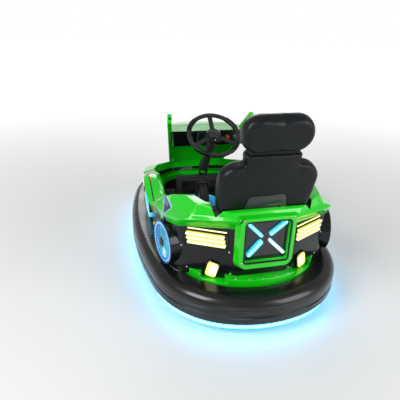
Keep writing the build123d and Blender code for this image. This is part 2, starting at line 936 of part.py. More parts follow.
with BuildPart() as front_side_lamps:
    with BuildSketch(on_nose(wall_front[3], wall_front[2], front_side_share, front_side_z)):
        RectangleRounded(*front_side_size, 18)
    extrude(amount=plate_depth)
    add(nose_volume(0), mode=Mode.SUBTRACT)
    mirror(about=Plane.YZ)
with BuildPart() as headlamps:
    with BuildSketch(on_nose(wall_front[2], wall_front[1], headlamp_share, headlamp_z)):
        with Locations((0, -headlamp_pitch / 2), (0, headlamp_pitch / 2)):
            SlotOverall(*headlamp_bar)
    extrude(amount=lamp_depth)
    add(nose_volume(0), mode=Mode.SUBTRACT)
    mirror(about=Plane.YZ)

# Tall oval lamps on the front corners of the cowl
with BuildPart() as nose_lamps:
    with BuildSketch(on_nose(cowl_waist[2], cowl_waist[1], 0.5, nose_lamp_z).offset(-20)):
        Ellipse(*nose_lamp_radii)
    extrude(amount=20 + lamp_depth)
    add(cowl_volume(0), mode=Mode.SUBTRACT)
    mirror(about=Plane.YZ)

# Seat: shell with its base, back and neck; cushion, back and headrest on it
cushion_low = seat_base_z + 8
cushion_high = 362
cushion_half = 226
cushion_front = -128
shell_wall = 8
with BuildPart() as seat_shell:
    with BuildSketch(seat_plane.offset(seat_back_thickness / 2 - shell_wall)):
        add(back_face(seat_base_z + 4))
    extrude(amount=shell_wall)
    with BuildSketch(seat_plane.offset(-22)):
        low = up_seat(seat_top - 20)
        high = up_seat(headrest_low + 40)
        with Locations((0, (low + high) / 2)):
            Rectangle(2 * neck_half, high - low)
    extrude(amount=22 + seat_back_thickness / 2)
    with BuildSketch(Plane.XY.offset(seat_base_z)):
        with Locations((0, (cushion_front - 672) / 2)):
            Rectangle(2 * seat_foot_half, 672 + cushion_front)
        with Locations((0, (cushion_front - 560) / 2)):
            Rectangle(2 * cushion_half + 16, 560 + cushion_front)
    extrude(amount=shell_wall)
    for x in (-rail_x, rail_x):
        for y in post_y:
            with Locations((x, y, (pan_top + tube + seat_base_z) / 2)):
                Box(30, 30, seat_base_z - pan_top - tube)

with BuildPart() as headrest:
    with BuildSketch(seat_plane.offset(-headrest_thickness / 2)) as pill:
        low = up_seat(headrest_low)
        high = up_seat(headrest_high)
        with Locations((0, (low + high) / 2)):
            RectangleRounded(2 * headrest_half, high - low, 80)
    extrude(amount=headrest_thickness)
    fillet(headrest.faces().sort_by(Axis.Y)[0].edges(), 30)
    fillet(headrest.faces().sort_by(Axis.Y)[-1].edges(), 30)
    add(seat_shell.part, mode=Mode.SUBTRACT)

with BuildPart() as seat_back:
    with BuildSketch(seat_plane.offset(-seat_back_thickness / 2)):
        add(back_face(cushion_high))
    extrude(amount=seat_back_thickness - shell_wall)
    fillet(seat_back.faces().sort_by(Axis.Y)[-1].edges(), 20)
    add(seat_shell.part, mode=Mode.SUBTRACT)

with BuildPart() as seat_cushion:
    with BuildSketch(Plane.XY.offset(cushion_low)):
        with Locations((0, (cushion_front - 655) / 2)):
            RectangleRounded(2 * seat_foot_half, 655 + cushion_front, 20)
        with Locations((0, (cushion_front - 556) / 2)):
            RectangleRounded(2 * cushion_half, 556 + cushion_front, 30)
    extrude(amount=cushion_high - cushion_low)
    fillet(seat_cushion.edges().group_by(Axis.Z)[-1], 14)
    add(seat_back.part, mode=Mode.SUBTRACT)
    add(seat_shell.part, mode=Mode.SUBTRACT)

# Steering column tube on its bracket, and the hand wheel with its shaft
with BuildPart() as steering_column:
    with BuildSketch(Plane.YZ) as bracket:
        with BuildLine():
            Polyline(
                (front_wheel_y - 20, bridge_high),
                (front_wheel_y + 20, bridge_high),
                (front_wheel_y - 20, bridge_high + 110),
                (front_wheel_y - 130, bridge_high + 190),
                close=True,
            )
        make_face()
    extrude(amount=tube_radius + 4, both=True)
    with BuildSketch(Plane.YZ):
        with Locations((front_wheel_y, bridge_high)):
            Rectangle(600, 600)
    extrude(amount=tube_radius - 4, both=True, mode=Mode.SUBTRACT)
    with BuildSketch(column_plane.offset(30)):
        Circle(tube_radius)
    extrude(amount=column_length - 110)
    with BuildSketch(column_plane):
        Circle(shaft_radius + 0.05)
    extrude(amount=column_length, mode=Mode.SUBTRACT)

with BuildPart() as steering_wheel:
    with BuildSketch(column_plane.offset(6)):
        Circle(shaft_radius)
    extrude(amount=column_length - 6)
    with BuildSketch(hand_plane.offset(-40)):
        Circle(26)
    extrude(amount=46)
    with BuildSketch(hand_plane.offset(-6)):
        Circle(52)
        for angle in (90, 210, 330):
            with Locations((85 * cos(radians(angle)), 85 * sin(radians(angle)))):
                Rectangle(150, 30, rotation=angle)
    extrude(amount=6)
    with BuildSketch(Plane(origin=hand_plane.origin, x_dir=column_axis, z_dir=(1, 0, 0))):
        with Locations((0, hand_wheel_radius), (0, -hand_wheel_radius)):
            Circle(rim_radius)
    revolve(axis=Axis(hand_plane.origin, column_axis), revolution_arc=180)

# Fork that carries the driven front wheel and turns with the hand wheel
fork_gap = front_wheel_width / 2 + 9
blade = 8
with BuildPart() as steer_fork:
    with Locations((0, front_wheel_y, bridge_low - 13)):
        Box(2 * (fork_gap + blade), 56, 10)
    for x in (-fork_gap - blade / 2, fork_gap + blade / 2):
        with Locations((x, front_wheel_y, (bridge_low - 8 + 96) / 2)):
            Box(blade, 44, bridge_low - 8 - 96)
    with Locations((0, front_wheel_y, bridge_low - 4.05)):
        Cylinder(24, 8)
    with Locations((0, front_wheel_y, bridge_low + 20)):
        Cylinder(kingpin_radius, 2 * 32)
    with Locations(Location((0, front_wheel_y, front_wheel_radius), (0, 90, 0))):
        Cylinder(axle_radius, 2 * (fork_gap + blade) + 16)
with BuildPart() as front_hub:
    with Locations(Location((0, front_wheel_y, front_wheel_radius), (0, 90, 0))):
        Cylinder(front_rim_radius, front_wheel_width)
        Cylinder(24, 2 * (fork_gap - 5.5))
        Cylinder(axle_radius + 0.05, 200, mode=Mode.SUBTRACT)
with BuildPart() as front_tyre:
    with Locations(Location((0, front_wheel_y, front_wheel_radius), (0, 90, 0))):
        Cylinder(front_wheel_radius, front_wheel_width)
    fillet(front_tyre.edges().filter_by(GeomType.CIRCLE), 14)
    with Locations(Location((0, front_wheel_y, front_wheel_radius), (0, 90, 0))):
        Cylinder(front_rim_radius, 200, mode=Mode.SUBTRACT)

# Rear knuckles with their stub axles, and the free rear wheels
knuckle_end = rear_wheel_x - rear_wheel_width / 2 - 8
stub_end = rear_wheel_x + 46
with BuildPart() as rear_knuckles:
    with Locations(((rail_x + tube / 2 + knuckle_end) / 2, rear_wheel_y, pan_top + tube / 2)):
        Box(knuckle_end - rail_x - tube / 2, tube, tube)
    with Locations(Location(((knuckle_end + stub_end) / 2, rear_wheel_y, rear_wheel_radius), (0, 90, 0))):
        Cylinder(axle_radius, stub_end - knuckle_end)
    mirror(about=Plane.YZ)
wheel_parts = {}
for side_name, side in (("right", 1), ("left", -1)):
    hub = Location((side * rear_wheel_x, rear_wheel_y, rear_wheel_radius), (0, 90, 0))
    with BuildPart() as rim:
        with Locations(hub):
            Cylinder(rear_rim_radius, rear_wheel_width - 4)
            Cylinder(axle_radius + 0.05, 200, mode=Mode.SUBTRACT)
    with BuildPart() as tyre:
        with Locations(hub):
            Cylinder(rear_wheel_radius, rear_wheel_width)
        fillet(tyre.edges().filter_by(GeomType.CIRCLE), 12)
        with Locations(hub):
            Cylinder(rear_rim_radius, 200, mode=Mode.SUBTRACT)
    wheel_parts["rear_rim_" + side_name] = rim
    wheel_parts["rear_tyre_" + side_name] = tyre

# Floor mat in the footwell and the two pedals
with BuildPart() as floor_mat:
    with BuildSketch(Plane.XY.offset(pan_top)):
        for x in (-mat_x, mat_x):
            with Locations((x, (mat_rear + mat_front) / 2)):
                Rectangle(mat_width, mat_front - mat_rear)
        with Locations((0, (mat_middle_rear + mat_front) / 2)):
            Rectangle(2 * rail_x - tube, mat_front - mat_middle_rear)
    extrude(amount=mat_thickness)
with BuildPart() as pedals:
    for x in (-pedal_x, pedal_x):
        with Locations((x, pedal_y, pan_top + 6)):
            Box(pedal_width + 4, 60, 12)
        with Locations(Location((x, pedal_y + 32, pan_top + 70), (-25, 0, 0))):
            Box(pedal_width, 8, pedal_height)

pieces = {
    "bumper_ring": bumper_ring,
    "bumper_band": bumper_band,
    "underglow_strip": underglow_strip,
    "floor_pan": floor_pan,
    "frame": frame,
    "steering_bridge": steering_bridge,
    "battery_box": battery_box,
    "body_belt": body_belt,
    "rear_panel": rear_panel,
    "rear_deck": rear_deck,
    "side_pod_right": side_pod_right,
    "side_pod_left": side_pod_left,
    "nose_body": nose_body,
    "front_cowl": front_cowl,
    "cowl_struts": cowl_struts,
    "dash_panel": dash_panel,
    "lamp_pod": lamp_pod,
    "lamp_well": lamp_well,
    "cross_lamp": cross_lamp,
    "tail_lamps": tail_lamps,
    "fog_lamps": fog_lamps,
    "ring_housings": ring_housings,
    "ring_lamps": ring_lamps,
    "pill_lamps": pill_lamps,
    "pill_centres": pill_centres,
    "side_lamps": side_lamps,
    "front_side_lamps": front_side_lamps,
    "headlamps": headlamps,
    "nose_lamps": nose_lamps,
    "seat_shell": seat_shell,
    "seat_back": seat_back,
    "seat_cushion": seat_cushion,
    "headrest": headrest,
    "steering_column": steering_column,
    "steering_wheel": steering_wheel,
    "steer_fork": steer_fork,
    "front_hub": front_hub,
    "front_tyre": front_tyre,
    "rear_knuckles": rear_knuckles,
    "floor_mat": floor_mat,
    "pedals": pedals,
}
pieces.update(wheel_parts)
for label, piece in pieces.items():
    piece.part.label = label
    export_step(piece.part, "parts/" + label + ".step")
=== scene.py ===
import math
import bmesh
import bpy
from mathutils import Matrix, Vector


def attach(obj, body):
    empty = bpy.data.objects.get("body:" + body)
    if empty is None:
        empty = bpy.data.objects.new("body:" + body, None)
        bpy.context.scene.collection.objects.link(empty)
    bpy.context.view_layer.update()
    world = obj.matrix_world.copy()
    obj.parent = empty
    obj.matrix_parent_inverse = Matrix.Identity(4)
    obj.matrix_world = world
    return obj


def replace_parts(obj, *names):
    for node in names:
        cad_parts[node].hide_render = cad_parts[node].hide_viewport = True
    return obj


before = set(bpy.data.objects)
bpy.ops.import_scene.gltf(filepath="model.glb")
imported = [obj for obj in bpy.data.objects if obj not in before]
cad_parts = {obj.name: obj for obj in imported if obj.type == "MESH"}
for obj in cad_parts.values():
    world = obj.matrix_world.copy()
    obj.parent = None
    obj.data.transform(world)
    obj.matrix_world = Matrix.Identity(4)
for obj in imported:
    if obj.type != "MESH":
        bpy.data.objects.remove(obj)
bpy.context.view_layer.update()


# Body shells: gloss green gel coat on moulded fibreglass, bolted to the belt round
# the foot of the body. Printed film makes the angular stripes, and the walls behind
# the lamps are black.


# A number or colour in the node tree of a finish, with its arithmetic
class Value:
    def __init__(self, finish, socket):
        self.finish = finish
        self.socket = socket

    def maths(self, operation, *values):
        inputs = dict(enumerate(values))
        return self.finish.node("ShaderNodeMath", {"operation": operation}, inputs)

    def __add__(self, other):
        return self.maths("ADD", self, other)

    def __sub__(self, other):
        return self.maths("SUBTRACT", self, other)

    def __rsub__(self, other):
        return self.maths("SUBTRACT", other, self)

    def __mul__(self, other):
        return self.maths("MULTIPLY", self, other)

    def __gt__(self, other):
        return self.maths("GREATER_THAN", self, other)

    def __lt__(self, other):
        return self.maths("LESS_THAN", self, other)

    def __abs__(self):
        return self.maths("ABSOLUTE", self)

    def most(self, other):
        return self.maths("MAXIMUM", self, other)

    # Distance to the nearest multiple of twice the step
    def fold(self, step):
        return self.maths("PINGPONG", self, step)

    def long(self, other):
        return self.maths("SQRT", self * self + other * other)

    __radd__ = __add__
    __rmul__ = __mul__


# The node tree of a material or of the world
class Tree:
    def __init__(self, tree):
        self.tree = tree

    def give(self, socket, value):
        if isinstance(value, Value):
            self.tree.links.new(value.socket, socket)
        else:
            socket.default_value = value

    def node(self, kind, settings, inputs, output=0):
        made = self.tree.nodes.new(kind)
        for name, value in settings.items():
            if name == "stops":
                ramp = made.color_ramp
                while len(ramp.elements) < len(value):
                    ramp.elements.new(1.0)
                for element, (position, colour) in zip(ramp.elements, value):
                    element.position = position
                    element.color = (*colour, 1.0)
            else:
                setattr(made, name, value)
        for name, value in inputs.items():
            self.give(made.inputs[name], value)
        return Value(self, made.outputs[output])


# A material, with names in plain words for the nodes it's made of
class Finish(Tree):
    def __init__(self, name, **sockets):
        self.material = bpy.data.materials.new(name)
        self.material.use_nodes = True
        super().__init__(self.material.node_tree)
        self.shader = self.tree.nodes["Principled BSDF"]
        self.place = self.node("ShaderNodeTexCoord", {}, {}, "Object")
        for socket, value in sockets.items():
            self.give(self.shader.inputs[socket.replace("_", " ")], value)

    def noise(self, scale, detail=3.0, stretch=(1, 1, 1)):
        spread = self.node("ShaderNodeMapping", {}, {"Vector": self.place, "Scale": stretch})
        inputs = {"Vector": spread, "Scale": scale, "Detail": detail}
        return self.node("ShaderNodeTexNoise", {}, inputs)

    def grain(self, scale):
        return self.node("ShaderNodeTexVoronoi", {}, {"Vector": self.place, "Scale": scale})

    def ramp(self, value, *stops):
        return self.node("ShaderNodeValToRGB", {"stops": stops}, {"Fac": value})

    def mix(self, share, first, second):
        inputs = {"Factor": share, 6: first, 7: second}
        return self.node("ShaderNodeMix", {"data_type": "RGBA"}, inputs, 2)

    def between(self, value, low, high, start=0.0, end=1.0):
        inputs = {"Value": value, "From Min": low, "From Max": high, "To Min": start, "To Max": end}
        return self.node("ShaderNodeMapRange", {}, inputs)

    # Colour that drifts between two shades
    def shades(self, dark, light, scale, detail=3.0):
        return self.ramp(self.noise(scale, detail), (0.3, dark), (0.7, light))

    def axes(self):
        split = self.node("ShaderNodeSeparateXYZ", {}, {"Vector": self.place})
        return [Value(self, socket) for socket in split.socket.node.outputs]

    def bump(self, height, distance, strength=1.0):
        inputs = {"Height": height, "Distance": distance, "Strength": strength}
        self.give(self.shader.inputs["Normal"], self.node("ShaderNodeBump", {}, inputs))

    def colour(self, value):
        self.give(self.shader.inputs["Base Color"], value)

    def rough(self, value):
        self.give(self.shader.inputs["Roughness"], value)

    def uneven(self, smooth, coarse, scale, detail=3.0):
        self.rough(self.between(self.noise(scale, detail), 0.3, 0.7, smooth, coarse))

    def glow(self, value, strength):
        self.give(self.shader.inputs["Emission Color"], value)
        self.give(self.shader.inputs["Emission Strength"], strength)

    # 1 inside a convex outline on two coordinates, 0 outside it
    def patch(self, across, along, corners):
        ends = list(zip(corners, corners[1:] + corners[:1]))
        turn = 1.0 if sum(a[0] * b[1] - b[0] * a[1] for a, b in ends) > 0 else -1.0
        inside = 1.0
        for (x0, y0), (x1, y1) in ends:
            edge = across * (turn * (y0 - y1)) + along * (turn * (x1 - x0))
            inside = (edge > turn * (x0 * (y0 - y1) + y0 * (x1 - x0))) * inside
        return inside


# A mesh that rides on a body of the kart, its edges sharp above an angle
def make(name, bm, finish, body="chassis", sharp=35.0):
    bmesh.ops.remove_doubles(bm, verts=bm.verts, dist=1e-5)
    bmesh.ops.recalc_face_normals(bm, faces=bm.faces)
    mesh = bpy.data.meshes.new(name)
    bm.to_mesh(mesh)
    bm.free()
    mesh.shade_smooth()
    mesh.set_sharp_from_angle(angle=math.radians(sharp))
    mesh.materials.append(finish.material)
    piece = bpy.data.objects.new(name, mesh)
    bpy.context.scene.collection.objects.link(piece)
    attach(piece, body)
    return piece


# Copies of CAD pieces with rounded edges, shown in their place
def rounded(finish, width, *names, body="chassis"):
    for name in names:
        bm = bmesh.new()
        bm.from_mesh(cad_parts[name].data)
        bmesh.ops.remove_doubles(bm, verts=bm.verts, dist=2e-5)
        bmesh.ops.dissolve_degenerate(bm, edges=bm.edges, dist=2e-4)
        bmesh.ops.dissolve_limit(bm, angle_limit=math.radians(0.6), verts=bm.verts, edges=bm.edges)
        bmesh.ops.connect_verts_concave(bm, faces=bm.faces)
        piece = make(name + "_moulded", bm, finish, body, 50.0)
        bevel = piece.modifiers.new("edges", "BEVEL")
        bevel.limit_method = "ANGLE"
        bevel.angle_limit = math.radians(32.0)
        bevel.width = width
        bevel.segments = 2
        bevel.use_clamp_overlap = False
        piece.modifiers.new("normals", "WEIGHTED_NORMAL").keep_sharp = True
        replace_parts(piece, name)


def dress(finish, *names):
    for name in names:
        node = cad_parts[name]
        node.data.materials.clear()
        node.data.materials.append(finish.material)


def rgb(red, green, blue):
    return (red, green, blue, 1.0)


green_dark = (0.004, 0.50, 0.005)
green_light = (0.006, 0.60, 0.008)
wall_black = rgb(0.003, 0.0035, 0.004)
film_red = rgb(0.62, 0.014, 0.006)
film_maroon = rgb(0.30, 0.010, 0.008)
film_orange = rgb(0.80, 0.16, 0.010)
film_yellow = rgb(0.85, 0.55, 0.02)
film_white = rgb(0.80, 0.80, 0.78)
film_sky = rgb(0.25, 0.55, 0.75)
film_blue = rgb(0.02, 0.42, 0.62)
film_navy = rgb(0.010, 0.028, 0.085)

# Printed film: colour, then the outline of each stripe as distance from the middle
# of the kart and distance forward
film = (
    (film_red, ((0.430, 0.262), (0.407, 0.250), (0.431, 0.085), (0.444, 0.080))),
    (film_orange, ((0.4465, 0.130), (0.4385, 0.120), (0.441, -0.030), (0.4455, -0.068))),
    (film_white, ((0.462, -0.225), (0.436, -0.290), (0.404, -0.262), (0.426, -0.212))),
    (film_yellow, ((0.470, -0.236), (0.448, -0.318), (0.440, -0.300), (0.464, -0.226))),
    (film_red, ((0.396, -0.196), (0.380, -0.212), (0.388, -0.262), (0.408, -0.232))),
    (film_blue, ((0.400, -0.285), (0.382, -0.262), (0.382, -0.300), (0.436, -0.404), (0.440, -0.372))),
    (film_sky, ((0.412, -0.358), (0.398, -0.524), (0.452, -0.552))),
    (film_navy, ((0.412, -0.372), (0.404, -0.518), (0.444, -0.540))),
    (film_maroon, ((0.462, -0.470), (0.448, -0.500), (0.452, -0.560), (0.468, -0.520))),
)

# The stripes stop at this height above the floor
film_foot = 0.300


def gel_coat(name, black=None, stripes=()):
    gel = Finish(name, Coat_Weight=0.7, Coat_Roughness=0.05, Specular_IOR_Level=0.3)
    paint = gel.ramp(gel.noise(1.6, 2.0), (0.35, green_dark), (0.65, green_light))
    x, y, z = gel.axes()
    side = abs(x)
    upper = z > film_foot
    for colour, corners in stripes:
        paint = gel.mix(gel.patch(side, y, corners) * upper, paint, colour)
    if black:
        paint = gel.mix(black(side, y, z), paint, wall_black)
    gel.colour(paint)
    gel.rough(gel.between(gel.noise(24.0, 4.0), 0.35, 0.7, 0.17, 0.24))
    gel.bump(gel.noise(160.0, 2.0), 0.0003, 0.08)
    return gel


# Body wall on the right, and the pill lamp that lies on it
wall_x = 0.447
wall_back = 0.006
wall_skin = 0.0009
wall_foot = 0.250
pill_y = 0.083
pill_z = 0.312
pill_straight = 0.075
pill_rim = 0.0985
rim_out = 0.0205


# Distance from the middle line of the pill lamp
def pill_reach(y, z):
    return (abs(y - pill_y) - pill_straight).most(0.0).long(z - pill_z)


def pod_black(side, y, z):
    inner = side > wall_x - wall_back
    wall = (side < wall_x + wall_skin) * inner * (z > wall_foot)
    rim = (pill_reach(y, z) < pill_rim) * inner * (side < wall_x + rim_out)
    return wall.most(rim)


# The wall of the nose is black up to the lip, which falls towards the front
lip_height = 0.4072
lip_fall = 0.15
nose_foot = 0.252


def nose_black(side, y, z):
    return (z < lip_height - lip_fall * y) * (z > nose_foot)


# The web between the two bars of a strut is black. Height counts from the strut's
# lower edge, square to the bars.
strut_foot = (0.210, 0.700, 0.352)
strut_up = (-0.1186, 0.6647, 0.7377)
web_low = 0.0265
web_high = 0.0415


def strut_black(side, y, z):
    x0, y0, z0 = strut_foot
    height = (side - x0) * strut_up[0] + (y - y0) * strut_up[1] + (z - z0) * strut_up[2]
    return (height > web_low) * (height < web_high)


shell_edge = 0.0025
rounded(gel_coat("green_film_coat", None, film), shell_edge, "rear_deck")
rounded(gel_coat("green_pod_coat", pod_black, film), shell_edge, "side_pod_right", "side_pod_left")
rounded(gel_coat("green_nose_coat", nose_black), shell_edge, "nose_body")
rounded(gel_coat("green_strut_coat", strut_black), shell_edge, "cowl_struts")
green = gel_coat("green_gel_coat")
rounded(green, shell_edge, "front_cowl", "body_belt")
rounded(green, 0.004, "lamp_pod")

# Tail panels: gloss black acrylic between the lamps, clipped in from behind. It
# carries fine wiping marks.
acrylic = Finish("black_acrylic", Coat_Weight=0.35, Coat_Roughness=0.04, Specular_IOR_Level=0.2)
acrylic.colour(acrylic.shades((0.002, 0.003, 0.0035), (0.004, 0.006, 0.007), 6.0))
acrylic.rough(acrylic.between(acrylic.noise(90.0, 5.0, (1, 1, 6)), 0.4, 0.7, 0.14, 0.3))
acrylic.bump(acrylic.noise(220.0, 2.0), 0.0002, 0.08)
rounded(acrylic, 0.002, "rear_panel", "ring_housings", "dash_panel")

# Tail lamps: three clear bars a side over a reflector that shines through yellow at
# their edges, in a black tray, with a thin light line above them.


# Outline of a rectangle with round corners, and of a circle
def round_rect(width, height, radius, lift=0.0, steps=5):
    points = []
    for quarter, (sx, sy) in enumerate(((1, 1), (-1, 1), (-1, -1), (1, -1))):
        for step in range(steps + 1):
            angle = math.radians(90 * (quarter + step / steps))
            x = sx * (width / 2 - radius) + radius * math.cos(angle)
            y = sy * (height / 2 - radius) + radius * math.sin(angle)
            points.append(Vector((x, y, lift)))
    return points


def polar(radius, turn, lift=0.0):
    return Vector((radius * math.cos(turn), radius * math.sin(turn), lift))


def circle(radius, lift=0.0, steps=32):
    return [polar(radius, 2 * math.pi * step / steps, lift) for step in range(steps)]


# Walls between rings of points; a ring of rings closes on itself, and a stack of
# rings is closed by a face at each end
def skin(bm, place, loops, ring=False):
    rows = [[bm.verts.new(place @ point) for point in loop] for loop in loops]
    pairs = list(zip(rows, rows[1:])) + ([(rows[-1], rows[0])] if ring else [])
    for lower, upper in pairs:
        for i in range(len(lower)):
            j = (i + 1) % len(lower)
            bm.faces.new((lower[i], lower[j], upper[j], upper[i]))
    if not ring:
        bm.faces.new(rows[0][::-1])
        bm.faces.new(rows[-1])


# A raised frame between two rounded outlines of one kind
def bezel(bm, place, outline, outer, inner, radius, low, high, edge):
    def ring(size, grow, lift):
        corner = max(radius + (size[0] - outer[0]) / 2 + grow, 0.0008)
        return outline(size[0] + 2 * grow, size[1] + 2 * grow, corner, lift)

    skin(bm, place, (
        ring(outer, 0.0, low),
        ring(outer, 0.0, high - edge),
        ring(outer, -edge, high),
        ring(inner, edge, high),
        ring(inner, 0.0, high - edge),
        ring(inner, 0.0, low),
    ), ring=True)


# A form from rounded rectangles, each given as width, height, corner radius and lift
def stack(bm, place, layers, steps=5):
    skin(bm, place, [round_rect(*layer, steps) for layer in layers])


# A block with a rounded outline and softened upper edge
def block(bm, place, size, radius, low, high, edge):
    width, height = size
    stack(bm, place, (
        (width, height, radius, low),
        (width, height, radius, high - edge),
        (width - 0.6 * edge, height - 0.6 * edge, max(radius - 0.3 * edge, 0.0005), high - 0.3 * edge),
        (width - 2 * edge, height - 2 * edge, max(radius - edge, 0.0003), high),
    ))


# Places on a surface: its origin, then the directions across it and up it
def surface(origin, across, up):
    across = Vector(across).normalized()
    up = Vector(up)
    up = (up - across * up.dot(across)).normalized()
    turn = Matrix((across, up, across.cross(up))).transposed()
    return Matrix.Translation(origin) @ turn.to_4x4()


flip = Matrix.Scale(-1, 4, (1, 0, 0))
both = (Matrix.Identity(4), flip)
corner_x, corner_y = 0.395, -0.605
panel_x, panel_y = 0.120, -0.748
facet_across = Vector((corner_x - panel_x, corner_y - panel_y, 0)).normalized()


def on_facet(x, z):
    y = panel_y + (x - panel_x) * facet_across.y / facet_across.x
    return surface((x, y, z), facet_across, (0, 0, 1))


tail_x = 0.262
tail_z = 0.436
tail_pitch = 0.022
tail_lens = Finish("tail_lens", Roughness=0.12, Coat_Weight=0.5)
x, y, z = tail_lens.axes()
from_bar = (z - tail_z).fold(tail_pitch / 2)
core = tail_lens.between(from_bar, 0.0035, 0.0062, 1.0, 0.0)
glass = tail_lens.mix(core, rgb(0.80, 0.74, 0.02), rgb(1.0, 1.0, 0.80))
grooves = tail_lens.between(x.fold(0.0035), 0.0, 0.0008)
clear = tail_lens.between(tail_lens.noise(60.0), 0.3, 0.7, 0.9, 1.0)
glass = tail_lens.mix(clear, rgb(0.7, 0.6, 0.05), glass)
tail_lens.colour(rgb(0.5, 0.5, 0.3))
tail_lens.bump(grooves, 0.0004, 0.25)
tail_lens.glow(glass, 1.0)
dress(tail_lens, "tail_lamps")

line_lens = Finish("line_lens", Roughness=0.15)
line_lens.glow(line_lens.shades((0.85, 0.80, 0.01), (1.0, 0.93, 0.05), 40.0), 1.0)
trays = bmesh.new()
lines = bmesh.new()
for side in both:
    place = side @ on_facet(tail_x, tail_z)
    bezel(trays, place, round_rect, (0.216, 0.082), (0.203, 0.068), 0.010, -0.001, 0.009, 0.0025)
    place = side @ on_facet(tail_x - 0.004, tail_z + 0.047)
    block(lines, place, (0.190, 0.0055), 0.0027, -0.001, 0.005, 0.0015)
make("tail_trays", trays, acrylic)
make("tail_light_lines", lines, line_lens)

# Rear fog lamps: small upright lenses, leaning inwards, in a black bezel over the
# scoops of the belt.
fog_x = 0.230
fog_z = 0.276
fog_lens = Finish("fog_lens", Roughness=0.12, Coat_Weight=0.5)
x, y, z = fog_lens.axes()
along = (abs(x) - fog_x) * (1.0 / facet_across.x)
rise = z - fog_z
tilt = math.radians(14.0)
across_lens = along * math.cos(tilt) + rise * math.sin(tilt)
up_lens = rise * math.cos(tilt) - along * math.sin(tilt)
edge = (abs(across_lens) - 0.027).most(abs(up_lens) - 0.038)
slot = abs(across_lens).long((abs(up_lens) - 0.014).most(0.0))
border = fog_lens.between(edge, -0.010, -0.006)
glass = fog_lens.mix(border, rgb(1.0, 1.0, 0.80), rgb(0.90, 0.78, 0.02))
line = (slot > 0.0075) * (slot < 0.0095)
glass = fog_lens.mix(line * 0.55, glass, rgb(0.55, 0.50, 0.05))
fog_lens.colour(rgb(0.5, 0.5, 0.3))
fog_lens.bump(fog_lens.noise(90.0), 0.0004, 0.2)
fog_lens.glow(glass, 1.0)
dress(fog_lens, "fog_lamps")
bezels = bmesh.new()
for side in both:
    place = side @ on_facet(fog_x, fog_z) @ Matrix.Rotation(tilt, 4, "Z")
    bezel(bezels, place, round_rect, (0.070, 0.092), (0.0545, 0.0765), 0.020, -0.001, 0.010, 0.003)
make("fog_bezels", bezels, acrylic)

# Cross lamp: four light bars behind the smoked window of the tail pod. The pod is a
# moulding of its own, screwed to the panel at its corners. One bar has the strongest
# diodes and shines almost white.
cross_z = 0.465
pod_y = -0.792
well_low, well_high = 0.352, 0.560
cyan_core = rgb(0.42, 0.95, 1.0)
white_core = rgb(0.95, 1.0, 1.0)

# Bars: side, level, slope, height at the middle, half width, share of the core, its colour
cross_rows = (
    (-1, 1, -1.0, -0.008, 0.0085, 0.30, cyan_core),
    (1, 1, 0.8228, 0.0085, 0.0100, 0.30, cyan_core),
    (-1, -1, 1.1515, 0.0173, 0.0125, 0.30, cyan_core),
    (1, -1, -0.9873, 0.0078, 0.0085, 0.62, white_core),
)
cross_lens = Finish("cross_lens", Roughness=0.12, Coat_Weight=0.5)
x, y, z = cross_lens.axes()
rise = z - cross_z
glass = rgb(0.004, 0.50, 0.70)
for side, level, slope, offset, half, share, colour in cross_rows:
    away = abs(rise - x * slope - offset) * (1.0 / (1 + slope * slope) ** 0.5)
    quarter = (x * side > 0.0) * (rise * level > 0.0)
    core = cross_lens.between(away, half * share, half * (share + 0.35), 1.0, 0.0)
    glass = cross_lens.mix(quarter * core, glass, colour)
cross_lens.colour(rgb(0.1, 0.4, 0.45))
cross_lens.bump(cross_lens.noise(120.0), 0.0003, 0.15)
cross_lens.glow(glass, 1.0)
dress(cross_lens, "cross_lamp")

window = Finish("smoked_window", Coat_Weight=0.6, Coat_Roughness=0.05)
window.colour(window.shades((0.0015, 0.002, 0.007), (0.003, 0.004, 0.012), 8.0))
window.uneven(0.12, 0.22, 50.0)
dress(window, "lamp_well")
frames = bmesh.new()
pod_face = surface((0, pod_y, (well_low + well_high) / 2), (1, 0, 0), (0, 0, 1))
bezel(frames, pod_face, round_rect, (0.228, 0.222), (0.212, 0.206), 0.020, -0.004, 0.0025, 0.002)
make("well_frame", frames, acrylic)

zinc = Finish("zinc_screws", Metallic=1.0)
zinc.colour(zinc.shades((0.35, 0.35, 0.36), (0.55, 0.55, 0.56), 80.0))
zinc.uneven(0.25, 0.45, 200.0)


# A turned form: pairs of radius and height, spun about the middle of a place
def turned(bm, place, profile, steps=32):
    points = [bm.verts.new(place @ Vector((radius, 0, height))) for radius, height in profile]
    edges = [bm.edges.new(pair) for pair in zip(points, points[1:])]
    bmesh.ops.spin(
        bm,
        geom=points + edges,
        cent=place.translation,
        axis=place.to_3x3() @ Vector((0, 0, 1)),
        angle=2 * math.pi,
        steps=steps,
        use_merge=True,
    )
    bmesh.ops.holes_fill(bm, edges=[edge for edge in bm.edges if edge.is_boundary])


# Button-head screw, dished in the middle
def screw(bm, place, radius):
    turned(bm, place, (
        (radius, -0.0005),
        (radius, 0.2 * radius),
        (0.8 * radius, 0.45 * radius),
        (0.5 * radius, 0.55 * radius),
        (0.4 * radius, 0.55 * radius),
        (0.36 * radius, 0.25 * radius),
    ), 12)


panel_screw = 0.0055
screws = bmesh.new()
for x in (-0.1195, 0.1195):
    for z in (0.352, 0.572):
        screw(screws, surface((x, pod_y, z), (1, 0, 0), (0, 0, 1)), panel_screw)
for x, z in ((0.160, 0.380), (0.370, 0.380), (0.150, 0.262), (0.345, 0.262)):
    for side in both:
        screw(screws, side @ on_facet(x, z), panel_screw)

